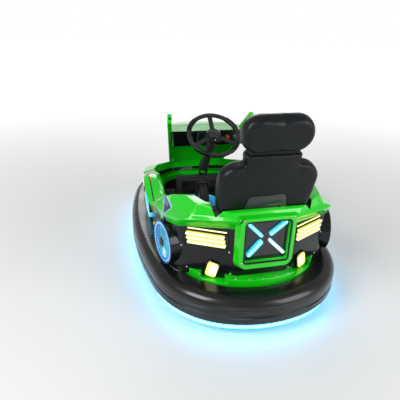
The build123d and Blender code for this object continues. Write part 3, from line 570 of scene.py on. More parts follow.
# The belt is screwed down to the bumper's flange along its open ledge, behind and
# in front of the body.
ledge_centre = 0.300
ledge_radius = 0.486
belt_top = 0.256
for end in (-1, 1):
    for angle in (-16, -8, 0, 8, 16):
        turn = math.radians(angle)
        x = ledge_radius * math.sin(turn)
        y = end * (ledge_centre + ledge_radius * math.cos(turn))
        screw(screws, surface((x, y, belt_top), (1, 0, 0), (0, 1, 0)), 0.006)
make("body_screws", screws, zinc)

# Ring lamps on the rear corners: a black bowl with a blue light ring round a cyan
# lens, ribbed like a fan.
ring_x, ring_y, ring_z = 0.446, -0.520, 0.352
ring_radius = 0.098
lean = math.radians(14.0)
ring_place = surface((ring_x, ring_y, ring_z), (math.sin(lean), math.cos(lean), 0), (0, 0, 1))


def ring_reach(finish):
    x, y, z = finish.axes()
    across = (abs(x) - ring_x) * math.sin(lean) + (y - ring_y) * math.cos(lean)
    return across, z - ring_z


ring_lens = Finish("ring_lens", Roughness=0.12, Coat_Weight=0.5)
across, rise = ring_reach(ring_lens)
away = abs(across.long(rise) - ring_radius)
core = ring_lens.between(away, 0.002, 0.007, 1.0, 0.0)
ring_lens.colour(rgb(0.01, 0.04, 0.12))
ring_lens.bump(ring_lens.noise(90.0), 0.0004, 0.2)
ring_lens.glow(ring_lens.mix(core, rgb(0.002, 0.10, 0.70), rgb(0.09, 0.62, 1.0)), 1.0)
dress(ring_lens, "ring_lamps")

# The fan's ribs fade to blue at its edge, and the light gathers in white streaks low
# down
fan_ribs = 24
fan_lens = Finish("fan_lens", Roughness=0.15, Coat_Weight=0.6)
across, rise = ring_reach(fan_lens)
low = fan_lens.between(rise, -0.080, 0.020, 0.13, 0.0)
cloud = fan_lens.noise(16.0, 5.0, (1, 1, 0.45)) + low
reach = fan_lens.between(across.long(rise), 0.020, 0.084)
glass = fan_lens.ramp(
    cloud,
    (0.44, (0.001, 0.22, 0.40)),
    (0.58, (0.003, 0.50, 0.66)),
    (0.68, (0.70, 0.97, 1.0)),
)
fan_lens.colour(rgb(0.004, 0.04, 0.06))
fan_lens.bump(cloud, 0.0006, 0.3)
turn = rise.maths("ARCTAN2", rise, across)
shade = fan_lens.between(turn.fold(math.pi / fan_ribs), 0.03, 0.11, 0.0, 0.45)
fan_lens.glow(fan_lens.mix((reach * 0.2).most(shade), glass, rgb(0.001, 0.13, 0.32)), 1.0)

# Rings of the fan: radius, height, height of the ribs
fan_rings = (
    (0.0855, -0.002, 0.0),
    (0.084, 0.002, 0.0),
    (0.070, 0.0045, 0.0020),
    (0.045, 0.006, 0.0020),
    (0.026, 0.0065, 0.0),
)
hub_profile = ((0.025, 0.002), (0.025, 0.009), (0.021, 0.0115), (0.012, 0.0115), (0.010, 0.010))


# Outline of a round bezel with a number of steps
def disc(steps):
    def outline(width, height, radius, lift):
        return circle(width / 2, lift, steps)

    return outline


fans = bmesh.new()
hubs = bmesh.new()
for side in both:
    place = side @ ring_place
    loops = []
    for radius, lift, wave in fan_rings:
        loop = circle(radius, lift, 4 * fan_ribs)
        for i, point in enumerate(loop):
            point.z += wave * (1 if i % 4 < 2 else -1)
        loops.append(loop)
    skin(fans, place, loops)
    turned(hubs, place, hub_profile)
    bezel(hubs, place, disc(64), (0.2325, 0.2325), (0.217, 0.217), 0.0, -0.004, 0.006, 0.003)
make("ring_fans", fans, fan_lens, sharp=20.0)
make("ring_trims", hubs, acrylic)

# Pill lamps along the sides: a broad light ring round a ribbed cyan lens, both of
# acrylic. They are pressed into the raised rim of the side pod.
pill_radius = 0.064
pill_lens = Finish("pill_lens", Roughness=0.12, Coat_Weight=0.5)
x, y, z = pill_lens.axes()
away = abs(pill_reach(y, z) - pill_radius)
core = pill_lens.between(away, 0.005, 0.010, 1.0, 0.0)
pill_lens.colour(rgb(0.2, 0.45, 0.5))
pill_lens.bump(pill_lens.noise(90.0), 0.0004, 0.2)
pill_lens.glow(pill_lens.mix(core, rgb(0.01, 0.62, 0.90), rgb(0.85, 1.0, 1.0)), 1.0)
dress(pill_lens, "pill_lamps")
pill_core = Finish("pill_core", Roughness=0.15, Coat_Weight=0.5)
x, y, z = pill_core.axes()
ribs = pill_core.between(pill_reach(y, z).fold(0.0055), 0.0005, 0.0030)
pill_core.colour(rgb(0.05, 0.30, 0.36))
pill_core.bump(ribs, 0.0015, 0.5)
pill_core.glow(pill_core.mix(ribs, rgb(0.001, 0.16, 0.30), rgb(0.006, 0.58, 0.85)), 0.9)
dress(pill_core, "pill_centres")

# Amber wedges behind the pills, and the cream lamps and white bars of the nose. They
# are ribbed acrylic, those of the nose each in a thin black bezel.
wedge_lens = Finish("wedge_lens", Roughness=0.15, Coat_Weight=0.5)
x, y, z = wedge_lens.axes()
ribs = wedge_lens.between((z + y * 0.3).fold(0.006), 0.0008, 0.0022)
wedge_lens.colour(rgb(0.5, 0.30, 0.05))
wedge_lens.bump(ribs, 0.0010, 0.4)
wedge_lens.glow(wedge_lens.mix(ribs, rgb(0.55, 0.20, 0.005), rgb(0.95, 0.58, 0.06)), 0.85)
dress(wedge_lens, "side_lamps")

cream_z = 0.297
cream_lens = Finish("cream_lens", Roughness=0.15, Coat_Weight=0.5)
x, y, z = cream_lens.axes()
line = abs(z - cream_z - (y - 0.500) * 0.35) < 0.0018
ribs = cream_lens.between(y.fold(0.005), 0.0006, 0.0016)
glass = cream_lens.mix(ribs, rgb(0.80, 0.72, 0.42), rgb(1.0, 0.94, 0.68))
cream_lens.colour(rgb(0.5, 0.5, 0.35))
cream_lens.bump(ribs, 0.0006, 0.3)
cream_lens.glow(cream_lens.mix(line, glass, rgb(0.05, 0.045, 0.03)), 0.95)
dress(cream_lens, "front_side_lamps")

head_z = 0.288
head_pitch = 0.030
head_lens = Finish("head_lens", Roughness=0.12, Coat_Weight=0.5)
x, y, z = head_lens.axes()
away = abs((z - head_z).fold(head_pitch) - head_pitch / 2)
border = head_lens.between(away, 0.005, 0.010)
glass = head_lens.mix(border, rgb(0.95, 1.0, 1.0), rgb(0.03, 0.60, 0.95))
head_lens.colour(rgb(0.4, 0.5, 0.5))
head_lens.bump(head_lens.noise(90.0), 0.0004, 0.2)
head_lens.glow(glass, 1.0)
dress(head_lens, "headlamps")


# Places on the nose: on the straight wall between two plan points, at a share of it
def on_nose(start, end, share, z):
    start, end = Vector((*start, 0.0)), Vector((*end, 0.0))
    spot = start + (end - start) * share
    return surface((spot.x, spot.y, z), start - end, (0, 0, 1))


front_a, front_b, front_c = (0.447, 0.410), (0.400, 0.610), (0.190, 0.781)
bezels = bmesh.new()
for side in both:
    place = side @ on_nose(front_a, front_b, 0.45, cream_z)
    bezel(bezels, place, round_rect, (0.176, 0.080), (0.161, 0.065), 0.022, -0.002, 0.0085, 0.0025)
    for lift in (-head_pitch / 2, head_pitch / 2):
        place = side @ on_nose(front_b, front_c, 0.52, head_z + lift)
        bezel(bezels, place, round_rect, (0.158, 0.0295), (0.151, 0.0245), 0.014, -0.002, 0.011, 0.0015)
make("nose_bezels", bezels, acrylic)

# Tall oval lamps on the corners of the cowl: red acrylic lenses with a pale line round
# them, set into the shell from behind.
oval_lens = Finish("oval_lens", Roughness=0.12, Coat_Weight=0.5)
oval_mid = Vector((0.131, 0.724, 0.522))
oval_across = Vector((0.182 - 0.080, 0.686 - 0.758, 0)).normalized()
oval_half = (0.046, 0.070)
x, y, z = oval_lens.axes()
across = (abs(x) - oval_mid.x) * oval_across.x + (y - oval_mid.y) * oval_across.y
reach = (across * (1 / oval_half[0])).long((z - oval_mid.z) * (1 / oval_half[1]))
ribs = oval_lens.between((z - oval_mid.z).fold(0.006), 0.0008, 0.0024)
glass = oval_lens.mix(ribs, rgb(0.42, 0.004, 0.004), rgb(0.90, 0.020, 0.012))
oval_lens.colour(rgb(0.35, 0.02, 0.02))
oval_lens.bump(ribs, 0.0010, 0.4)
oval_lens.glow(oval_lens.mix(reach > 0.86, glass, rgb(1.0, 0.45, 0.42)), 0.95)
dress(oval_lens, "nose_lamps")

# Bumper ring: one thick black rubber moulding, pressed over the steel band. It is
# scuffed along its widest line by other bumpers.
widest_z = 0.150
rubber = Finish("bumper_rubber", Coat_Weight=0.45, Coat_Roughness=0.16, Specular_IOR_Level=0.25)
x, y, z = rubber.axes()
scuff = rubber.noise(7.0, 9.0, (1, 1, 16))
widest = rubber.between(abs(z - widest_z), 0.020, 0.055, 1.0, 0.0)
worn = rubber.between(scuff, 0.48, 0.70) * widest
clean = rubber.shades((0.004, 0.0045, 0.005), (0.007, 0.0075, 0.008), 5.0)
rubber.colour(rubber.mix(worn, clean, rgb(0.050, 0.052, 0.054)))
rubber.rough(rubber.between(scuff, 0.35, 0.70, 0.22, 0.40) + worn * 0.2)
rubber.bump(rubber.noise(420.0, 4.0) + worn * 0.5, 0.0003, 0.3)
rounded(rubber, 0.002, "bumper_ring")

# Underglow: a row of cyan diodes behind a frosted strip, let into the underside of
# the ring. It lights the floor round the kart.
diode_strength = 9.0
under = Finish("underglow", Roughness=0.3)
under.glow(under.shades((0.0, 0.50, 1.0), (0.0, 0.58, 1.0), 30.0), diode_strength)
dress(under, "underglow_strip")

# Chassis: welded square tube and folded sheet, powder coated black. The floor pan is
# pressed with rows of studs against slipping.
coat = Finish("black_powder_coat")
coat.colour(coat.shades((0.018, 0.018, 0.019), (0.035, 0.035, 0.036), 30.0, 5.0))
coat.uneven(0.42, 0.6, 60.0)
coat.bump(coat.noise(900.0, 2.0), 0.0004, 0.3)
rounded(coat, 0.002, "frame", "steering_bridge", "rear_knuckles", "steering_column", "battery_box")
rounded(coat, 0.0015, "steer_fork", body="fork")
dress(coat, "bumper_band")

stud_across = 0.011
stud_along = 0.016
deck_plate = Finish("floor_plate")
x, y, z = deck_plate.axes()
stud = (x.fold(stud_across) * 2.0).long(y.fold(stud_along))
deck_plate.colour(deck_plate.shades((0.050, 0.052, 0.055), (0.085, 0.087, 0.090), 24.0, 5.0))
deck_plate.uneven(0.35, 0.55, 60.0)
deck_plate.bump(deck_plate.between(stud, 0.005, 0.008, 1.0, 0.0), 0.0012, 0.8)
dress(deck_plate, "floor_pan")

# Seat: foam on a moulded shell, covered in soft black vinyl that wraps round to the
# back. Sewn channels part the side bolsters from the middle.
vinyl = Finish("black_vinyl", Coat_Weight=0.10, Coat_Roughness=0.25, Specular_IOR_Level=0.20)
pores = vinyl.grain(420.0)
vinyl.colour(vinyl.shades((0.0025, 0.0040, 0.0050), (0.0045, 0.0065, 0.0080), 14.0))
vinyl.uneven(0.30, 0.46, 40.0, 5.0)
vinyl.bump(pores + vinyl.noise(60.0) * 0.8, 0.0007, 0.35)

# Pads: size of their mesh, force and stiffness of the cloth, and the sewn channels
voxel = 0.0065
cloth_pressure = 4.0
cloth_stiffness = 8.0
cloth_steps = 20
seam_depth = 0.005
seam_width = 0.0045
no_seam = 1.0


# Swells a closed form like stuffed cloth, by no more than a cap. Points near a seam are
# held, so that they stay down as a channel.
def stuffed(name, bm, finish, cap, seam, replaced):
    piece = make(name, bm, finish)
    remesh = piece.modifiers.new("even", "REMESH")
    remesh.mode = "VOXEL"
    remesh.voxel_size = voxel
    graph = bpy.context.evaluated_depsgraph_get()
    piece.data = bpy.data.meshes.new_from_object(piece.evaluated_get(graph))
    piece.modifiers.clear()
    start = [vertex.co.copy() for vertex in piece.data.vertices]
    held = piece.vertex_groups.new(name="held")
    near = [i for i, place in enumerate(start) if seam(place) < 0.5 * voxel]
    held.add(near, 1.0, "REPLACE")
    cloth = piece.modifiers.new("swell", "CLOTH")
    cloth.settings.use_pressure = True
    cloth.settings.uniform_pressure_force = cloth_pressure
    cloth.settings.effector_weights.gravity = 0.0
    cloth.settings.tension_stiffness = cloth_stiffness
    cloth.settings.compression_stiffness = cloth_stiffness
    cloth.settings.vertex_group_mass = "held"
    cloth.point_cache.frame_end = cloth_steps
    for step in range(1, cloth_steps + 1):
        bpy.context.scene.frame_set(step)
    graph = bpy.context.evaluated_depsgraph_get()
    swollen = piece.evaluated_get(graph).to_mesh()
    ends = [vertex.co.copy() for vertex in swollen.vertices]
    piece.evaluated_get(graph).to_mesh_clear()
    piece.modifiers.clear()
    for vertex, old, new in zip(piece.data.vertices, start, ends):
        move = new - old
        vertex.co = old + move * min(1.0, cap / max(move.length, 1e-9))
    bpy.context.scene.frame_set(1)
    smooth = bmesh.new()
    smooth.from_mesh(piece.data)
    for _ in range(3):
        bmesh.ops.smooth_vert(
            smooth,
            verts=smooth.verts,
            factor=0.5,
            use_axis_x=True,
            use_axis_y=True,
            use_axis_z=True,
        )
    normals = [vertex.normal.copy() for vertex in smooth.verts]
    for vertex, normal in zip(smooth.verts, normals):
        away = seam(vertex.co)
        vertex.co -= normal * seam_depth * math.exp(-(away / seam_width) ** 2)
    smooth.to_mesh(piece.data)
    smooth.free()
    piece.data.shade_smooth()
    piece.data.materials.clear()
    piece.data.materials.append(finish.material)
    fine = piece.modifiers.new("fine", "SUBSURF")
    fine.levels = 1
    fine.render_levels = 1
    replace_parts(piece, replaced)


seat_lean = math.radians(14.0)
seat_up = Vector((0, -math.sin(seat_lean), math.cos(seat_lean)))
seat_z = 0.650
seat_plane = surface((0, -0.690, seat_z), (1, 0, 0), seat_up)
to_seat = seat_plane.inverted()


# Height above the floor as distance up the seat back
def up_seat(z):
    return (z - seat_z) / math.cos(seat_lean)


# Outline with round corners through points given with their radius
def rounded_outline(corners, lift, steps=6):
    points = []
    count = len(corners)
    for i, (x, y, radius) in enumerate(corners):
        here = Vector((x, y, 0))
        back = (Vector((*corners[i - 1][:2], 0)) - here).normalized()
        ahead = (Vector((*corners[(i + 1) % count][:2], 0)) - here).normalized()
        half = back.angle(ahead) / 2
        run = radius / math.tan(half)
        middle = here + (back + ahead).normalized() * (radius / math.sin(half))
        start, end = here + back * run - middle, here + ahead * run - middle
        for step in range(steps + 1):
            spoke = start.slerp(end, step / steps).normalized() * radius
            points.append(middle + spoke + Vector((0, 0, lift)))
    return points


def mirrored(corners):
    return corners + [(-x, y, radius) for x, y, radius in reversed(corners)]


back_corners = mirrored([
    (0.160, up_seat(0.368), 0.012),
    (0.160, up_seat(0.522), 0.010),
    (0.228, up_seat(0.594), 0.048),
    (0.238, up_seat(0.682), 0.060),
    (0.238, up_seat(0.829), 0.088),
])
neck_corners = mirrored([
    (0.124, up_seat(0.780), 0.020),
    (0.132, up_seat(0.884), 0.008),
])

# Back and neck: outline, front and rear face, softened edge
back_pads = ((back_corners, -0.034, 0.037, 0.016), (neck_corners, -0.028, 0.034, 0.012))
pad = bmesh.new()
for corners, front, rear, edge in back_pads:
    skin(pad, seat_plane, (
        rounded_outline([(x * 0.95, y, r) for x, y, r in corners], front),
        rounded_outline(corners, front + edge),
        rounded_outline(corners, rear - edge),
        rounded_outline([(x * 0.94, y, r) for x, y, r in corners], rear),
    ))


# Distance from the nearest channel of those that run across, within half a width
def rungs(across, along, half, levels):
    if abs(across) >= half:
        return no_seam
    return min(abs(along - level) for level in levels)


# Channels down both sides of the back, spreading upwards, and across the front of it
def back_seam(place):
    spot = to_seat @ place
    if spot.z > 0:
        return no_seam
    crossing = rungs(spot.x, spot.y, 0.14, (-0.19, -0.09, 0.01, 0.11))
    if spot.y >= 0.15:
        return crossing
    return min(crossing, abs(abs(spot.x) - 0.135 - 0.10 * max(spot.y + 0.06, 0.0)))


stuffed("seat_back_cover", pad, vinyl, 0.009, back_seam, "seat_back")

head_low, head_high = up_seat(0.872) + 0.008, up_seat(1.052) - 0.008
head_middle = (head_low + head_high) / 2
pad = bmesh.new()
head_place = seat_plane @ Matrix.Translation((0, head_middle, 0))
head_tall = head_high - head_low
stack(pad, head_place, (
    (0.290, head_tall - 0.036, 0.066, -0.042),
    (0.312, head_tall - 0.012, 0.076, -0.028),
    (0.318, head_tall, 0.080, 0.0),
    (0.312, head_tall - 0.012, 0.076, 0.028),
    (0.290, head_tall - 0.036, 0.066, 0.042),
), 8)


# One channel round the middle of the headrest, in front
def head_seam(place):
    spot = to_seat @ place - Vector((0, head_middle, 0))
    if spot.z > 0:
        return no_seam
    inner = max(abs(spot.x) - 0.070, 0.0)
    return abs(math.hypot(inner, spot.y) - 0.050)


stuffed("headrest_cover", pad, vinyl, 0.006, head_seam, "headrest")

# The neck's stiff core shows as a narrow line between the back and the headrest
core_corners = mirrored([
    (0.118, up_seat(0.850), 0.006),
    (0.110, up_seat(0.895), 0.012),
])
core_inner = mirrored([
    (0.115, up_seat(0.853), 0.005),
    (0.107, up_seat(0.892), 0.010),
])
core = bmesh.new()
skin(core, seat_plane, (
    rounded_outline(core_inner, -0.022),
    rounded_outline(core_corners, -0.018),
    rounded_outline(core_corners, 0.024),
    rounded_outline(core_inner, 0.028),
))
make("neck_core", core, vinyl)

# Cushion, with a narrow tongue that reaches back under the back pad
cushion_z = 0.270
cushion_half = 0.140
pad = bmesh.new()
stack(pad, surface((0, -0.342, cushion_z), (1, 0, 0), (0, 1, 0)), (
    (0.420, 0.400, 0.030, 0.004),
    (0.436, 0.416, 0.034, 0.020),
    (0.436, 0.416, 0.034, 0.068),
    (0.400, 0.380, 0.026, 0.084),
))
stack(pad, surface((0, -0.590, cushion_z), (1, 0, 0), (0, 1, 0)), (
    (0.310, 0.130, 0.014, 0.004),
    (0.322, 0.134, 0.016, 0.020),
    (0.322, 0.134, 0.016, 0.068),
    (0.290, 0.130, 0.012, 0.084),
))


def cushion_seam(place):
    if place.z < cushion_z + 0.055:
        return no_seam
    crossing = rungs(place.x, place.y, cushion_half, (-0.22, -0.31, -0.40, -0.49))
    return min(crossing, abs(abs(place.x) - cushion_half))


stuffed("seat_cushion_cover", pad, vinyl, 0.009, cushion_seam, "seat_cushion")

# The shell shows as the base under the cushion on its posts; its back lies inside the
# cover. On the back of the seat a tapered hard panel carries a blank strip.
base = bmesh.new()
base.from_mesh(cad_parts["seat_shell"].data)
bmesh.ops.remove_doubles(base, verts=base.verts, dist=2e-5)
base_top = 0.40
everything = base.verts[:] + base.edges[:] + base.faces[:]
bmesh.ops.bisect_plane(
    base,
    geom=everything,
    plane_co=(0, 0, base_top),
    plane_no=(0, 0, 1),
    clear_outer=True,
)
bmesh.ops.holes_fill(base, edges=[edge for edge in base.edges if edge.is_boundary], sides=0)
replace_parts(make("seat_base", base, coat), "seat_shell")

hard = Finish("hard_panel", Coat_Weight=0.5, Coat_Roughness=0.12)
hard.colour(hard.shades((0.004, 0.0055, 0.007), (0.007, 0.009, 0.011), 20.0))
hard.uneven(0.25, 0.4, 50.0)
hard.bump(hard.noise(300.0), 0.0003, 0.2)
panel = bmesh.new()
taper = mirrored([(0.118, -0.095, 0.014), (0.086, 0.030, 0.018)])
inner = mirrored([(0.113, -0.090, 0.012), (0.081, 0.025, 0.015)])
skin(panel, seat_plane, (
    rounded_outline(taper, 0.036),
    rounded_outline(taper, 0.048),
    rounded_outline(inner, 0.0515),
))
strip = seat_plane @ Matrix.Translation((0, -0.030, 0))
bezel(panel, strip, round_rect, (0.136, 0.026), (0.128, 0.018), 0.006, 0.050, 0.0540, 0.001)
make("seat_rear_panel", panel, hard)

# Steering wheel: a steel rim under moulded foam, with four ribbed grips, bolted to a
# flat three-spoke plate. The column tube ends in a rubber boot.
foam = Finish("foam_rim", Specular_IOR_Level=0.3)
foam.colour(foam.shades((0.010, 0.010, 0.011), (0.020, 0.020, 0.021), 60.0))
foam.uneven(0.5, 0.7, 90.0)
foam.bump(foam.grain(700.0), 0.0005, 0.4)
dress(foam, "steering_wheel")
column_foot = Vector((0, 0.470, 0.350))
hand_middle = Vector((0, 0.215, 0.690))
column_way = (hand_middle - column_foot).normalized()
hand_place = surface(hand_middle, (1, 0, 0), Vector((0, column_way.z, -column_way.y)))


# Tube along a path of points, closed at its ends
def tube(bm, place, path, radii, steps=14):
    loops = []
    for i, (point, radius) in enumerate(zip(path, radii)):
        way = (path[min(i + 1, len(path) - 1)] - path[max(i - 1, 0)]).normalized()
        turn = way.to_track_quat("Z", "Y").to_matrix()
        loops.append([point + turn @ spoke for spoke in circle(radius, 0.0, steps)])
    skin(bm, place, loops)


wheel_rim = 0.165
grip_span = 40
grip_radii = [0.0142, 0.0158] + [0.0168 + 0.0006 * (step % 2) for step in range(13)] + [0.0158, 0.0142]
grips = bmesh.new()
for first in (12, 128, -60, 210):
    arc = [math.radians(first + grip_span * step / 16) for step in range(17)]
    tube(grips, hand_place, [polar(wheel_rim, turn) for turn in arc], grip_radii)
make("wheel_grips", grips, vinyl, "hand_wheel")

boss_profile = (
    (0.040, 0.004),
    (0.040, 0.012),
    (0.036, 0.017),
    (0.022, 0.019),
    (0.020, 0.0175),
    (0.004, 0.0175),
)
boss = bmesh.new()
turned(boss, hand_place, boss_profile, 40)
make("wheel_boss", boss, hard, "hand_wheel")
bolts = bmesh.new()
for angle in (30, 150, 270):
    spot = polar(0.046, math.radians(angle), 0.0062)
    screw(bolts, hand_place @ Matrix.Translation(spot), 0.0045)
make("wheel_bolts", bolts, zinc, "hand_wheel")

boot_path = [column_foot + column_way * (0.300 + 0.006 * step) for step in range(9)]
boot_radii = [0.034 - 0.001 * step - 0.004 * (step % 2) for step in range(9)]
boot = bmesh.new()
tube(boot, Matrix.Identity(4), boot_path, boot_radii, 24)
make("column_boot", boot, foam)

# Dash: a blank display in a raised surround between two push buttons and a key
# switch. Its face looks back at the driver.
dash_place = surface((0, 0.333, 0.640), (1, 0, 0), (0, 0, 1))
button_x = 0.130
key_x = 0.185


def on_dash(x):
    return dash_place @ Matrix.Translation((x, 0, 0))


trim = bmesh.new()
bezel(trim, dash_place, round_rect, (0.170, 0.078), (0.144, 0.056), 0.012, -0.001, 0.008, 0.003)
for x in (-button_x, button_x, key_x):
    bezel(trim, on_dash(x), disc(28), (0.034, 0.034), (0.025, 0.025), 0, -0.001, 0.006, 0.002)
make("dash_trims", trim, hard)
screen = Finish("blank_display", Coat_Weight=0.8, Coat_Roughness=0.03)
screen.colour(screen.shades((0.003, 0.010, 0.018), (0.005, 0.015, 0.026), 20.0))
screen.uneven(0.08, 0.16, 30.0)
pane = bmesh.new()
block(pane, dash_place, (0.146, 0.058), 0.009, -0.001, 0.003, 0.001)
make("dash_display", pane, screen)

button_green = (0.02, 0.42, 0.04)
button_red = (0.62, 0.02, 0.012)
knob_profile = ((0.0122, -0.001), (0.0122, 0.007), (0.0105, 0.0095), (0.004, 0.0100))
for name, x, colour in (("start_button", -button_x, button_green), ("horn_button", button_x, button_red)):
    plastic = Finish(name + "_plastic", Coat_Weight=0.3)
    plastic.colour(plastic.shades([0.85 * part for part in colour], colour, 60.0))
    plastic.uneven(0.25, 0.35, 90.0)
    knob = bmesh.new()
    turned(knob, on_dash(x), knob_profile, 28)
    make(name, knob, plastic)
key = bmesh.new()
key_place = on_dash(key_x)
turned(key, key_place, ((0.0122, -0.001), (0.0122, 0.003), (0.0110, 0.004)), 28)
block(key, key_place @ Matrix.Translation((0, 0, 0.003)), (0.0025, 0.010), 0.0008, 0.0, 0.006, 0.0005)
block(key, key_place @ Matrix.Translation((0, 0, 0.009)), (0.004, 0.022), 0.0015, 0.0, 0.020, 0.0010)
make("key_switch", key, zinc)

# Pedals: powder coated steel plates, one a side of the column, with ribbed rubber
# pads glued to their faces.
rounded(coat, 0.002, "pedals")
pedal_x = 0.250
pedal_lean = math.radians(25.0)
pedal_up = (0, math.sin(pedal_lean), math.cos(pedal_lean))
rib_pitch = 0.0176
pads = bmesh.new()
for x in (-pedal_x, pedal_x):
    face = surface((x, 0.452, 0.154), (1, 0, 0), pedal_up)
    block(pads, face, (0.060, 0.112), 0.006, 0.0035, 0.0080, 0.0015)
    for rib in range(6):
        place = face @ Matrix.Translation((0, rib_pitch * (rib - 2.5), 0))
        block(pads, place, (0.052, 0.007), 0.003, 0.0075, 0.0105, 0.001)
make("pedal_pads", pads, foam)

# Floor mats: ribbed rubber sheet, dusty from shoes, cut to lie loose between the frame
# tubes.
mat = Finish("ribbed_mat")
x, y, z = mat.axes()
ribs = mat.between(x.fold(0.005), 0.001, 0.003)
dusty = mat.ramp(mat.noise(12.0, 6.0), (0.35, (0.035, 0.036, 0.038)), (0.70, (0.070, 0.070, 0.068)))
mat.colour(mat.mix(ribs, dusty, rgb(0.012, 0.012, 0.013)))
mat.uneven(0.55, 0.75, 60.0)
mat.bump(ribs, -0.0010, 0.6)
dress(mat, "floor_mat")

# Wheels: solid rubber tyres with a cut tread, pressed on cast aluminium hubs. Five
# screws a side hold each hub.
tread = Finish("tyre_rubber", Specular_IOR_Level=0.3)
tread.colour(tread.shades((0.012, 0.012, 0.012), (0.030, 0.030, 0.029), 40.0, 6.0))
tread.uneven(0.6, 0.8, 80.0)
tread.bump(tread.noise(300.0), 0.0006, 0.4)
alloy = Finish("cast_aluminium", Metallic=1.0)
alloy.colour(alloy.shades((0.45, 0.46, 0.48), (0.60, 0.61, 0.62), 60.0))
alloy.uneven(0.3, 0.5, 120.0)
alloy.bump(alloy.noise(400.0), 0.0004, 0.3)

# Tyre, hub, body, centre, radius, width, seat of the tyre, face of the hub and blocks
# of the tread
rear_sizes = (0.100, 0.056, 0.062, 0.026, 30)
wheels = (
    ("front_tyre", "front_hub", "front_wheel", (0, 0.500, 0.120), 0.120, 0.066, 0.074, 0.033, 36),
    ("rear_tyre_right", "rear_rim_right", "rear_wheel_right", (0.330, -0.420, 0.100), *rear_sizes),
    ("rear_tyre_left", "rear_rim_left", "rear_wheel_left", (-0.330, -0.420, 0.100), *rear_sizes),
)
groove_depth = 0.003
for tyre, hub, body, centre, radius, width, inside, hub_face, blocks in wheels:
    axle = surface(centre, (0, 1, 0), (0, 0, 1))
    half = width / 2
    crown = radius - 0.0005
    section = [
        (inside, -half + 0.004),
        (inside + 0.006, -half),
        (radius - 0.016, -half),
        (radius - 0.006, -half + 0.004),
        (crown, -half + 0.013),
        (crown, -0.004),
        (radius - 0.004, -0.003),
    ]
    section += [(reach, -across) for reach, across in reversed(section)]
    rings = []
    for spoke in range(4 * blocks):
        turn = 2 * math.pi * spoke / (4 * blocks)
        ring = []
        for reach, across in section:
            if spoke % 4 == 0 and reach == crown:
                reach -= groove_depth
            ring.append(polar(reach, turn, across))
        rings.append(ring)
    form = bmesh.new()
    skin(form, axle, rings, ring=True)
    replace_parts(make(tyre + "_tread", form, tread, body), tyre)
    rounded(alloy, 0.0015, hub, body=body)
    nuts = bmesh.new()
    for end in (-1, 1):
        face = axle @ Matrix.Scale(end, 4, (0, 0, 1))
        for bolt in range(5):
            spot = polar(0.62 * inside, math.radians(72 * bolt), hub_face)
            screw(nuts, face @ Matrix.Translation(spot), 0.0055)
    make(hub + "_bolts", nuts, zinc, body)

# Cowl vents: a black moulded insert with five slats fills each three-cornered vent. It
# is clipped in from behind.
vent_tip = 0.556
vent_corners = [(-0.012, vent_tip, 0.004), (0.104, 0.487, 0.004), (0.104, 0.597, 0.004)]
slat_end = 0.098
slat_turn = 0.6
inserts = bmesh.new()
for side in both:
    place = side @ surface((0.2075, 0.596, 0), (-0.028, 0.090, 0), (0, 0, 1))
    skin(inserts, place, (rounded_outline(vent_corners, -0.011), rounded_outline(vent_corners, -0.008)))
    for height in (0.508, 0.524, 0.540, 0.556, 0.572):
        slope = 1.57 if height < vent_tip else 2.95
        first = abs(height - vent_tip) * slope
        spot = Matrix.Translation(((first + slat_end) / 2, height, -0.0065))
        slat = place @ spot @ Matrix.Rotation(slat_turn, 4, "X")
        block(inserts, slat, (slat_end - first, 0.008), 0.001, -0.001, 0.001, 0.0005)
make("vent_inserts", inserts, hard)

# Pale floor that carries on to the horizon, and a plain pale surround
bpy.ops.mesh.primitive_plane_add(size=60)
floor = bpy.context.object
floor.name = "floor"
pale = Finish("pale_floor", Specular_IOR_Level=0.3)
x, y, z = pale.axes()
far = pale.between(x.long(y), 1.3, 4.4)
near = pale.shades((0.70, 0.70, 0.70), (0.72, 0.72, 0.72), 0.4)
pale.colour(pale.mix(far, near, rgb(0.0, 0.0, 0.0)))
pale.rough(pale.between(pale.noise(3.0), 0.3, 0.7, 0.40, 0.50) + far * 0.4)
pale.glow(pale.mix(far, rgb(0.0, 0.0, 0.0), rgb(1.0, 1.0, 1.0)), 1.0)
floor.data.materials.append(pale.material)

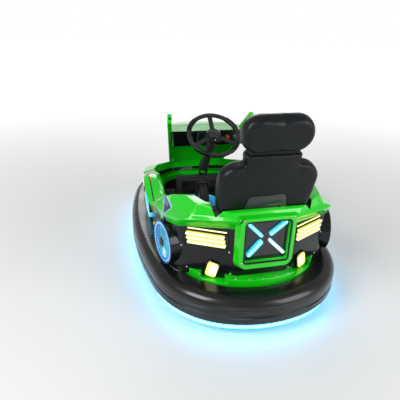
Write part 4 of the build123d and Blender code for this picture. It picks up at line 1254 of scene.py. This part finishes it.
# The surround is white to the camera and dimmer as a light
room_light = 0.42
world = bpy.data.worlds.new("studio")
bpy.context.scene.world = world
world.use_nodes = True
sky = Tree(world.node_tree)
background = sky.tree.nodes["Background"]
seen = sky.node("ShaderNodeLightPath", {}, {}, "Is Camera Ray")
light = sky.node("ShaderNodeMapRange", {}, {"Value": seen, "To Min": room_light})
sky.give(background.inputs["Color"], rgb(1.0, 1.0, 1.0))
sky.give(background.inputs["Strength"], light)


# A soft box that faces a point of the kart
def soft_box(name, place, target, size, power):
    data = bpy.data.lights.new(name, "AREA")
    data.shape = "RECTANGLE"
    data.size, data.size_y = size
    data.energy = power
    lamp = bpy.data.objects.new(name, data)
    bpy.context.scene.collection.objects.link(lamp)
    lamp.location = place
    lamp.rotation_euler = (Vector(target) - Vector(place)).to_track_quat("-Z", "Y").to_euler()


soft_box("key", (-3.4, -2.2, 3.4), (0, 0, 0.4), (2.2, 2.2), 170)
soft_box("fill", (2.6, -3.2, 2.0), (0, 0, 0.4), (2.4, 2.4), 85)
soft_box("rim", (0.8, 4.2, 2.6), (0, 0, 0.5), (3.6, 2.0), 75)

# Camera: at the height of a standing visitor's phone, behind the kart and to its left
camera_place = Vector((-0.676, -2.257, 1.373))
camera_turn = 0.2359
camera_drop = 0.4237
camera_roll = 0.025
focal_share = 398.0 / 400.0
ahead = Vector((
    math.sin(camera_turn) * math.cos(camera_drop),
    math.cos(camera_turn) * math.cos(camera_drop),
    -math.sin(camera_drop),
))
level = Vector((math.cos(camera_turn), -math.sin(camera_turn), 0.0))
right = level * math.cos(camera_roll) + level.cross(ahead) * math.sin(camera_roll)
above = right.cross(ahead)
camera_data = bpy.data.cameras.new("camera")
camera_data.sensor_width = 36.0
camera_data.lens = focal_share * camera_data.sensor_width
camera = bpy.data.objects.new("camera", camera_data)
bpy.context.scene.collection.objects.link(camera)
camera_frame = Matrix((right, above, -ahead)).transposed().to_4x4()
camera.matrix_world = Matrix.Translation(camera_place) @ camera_frame
bpy.context.scene.camera = camera
bpy.context.scene.view_settings.view_transform = "Standard"
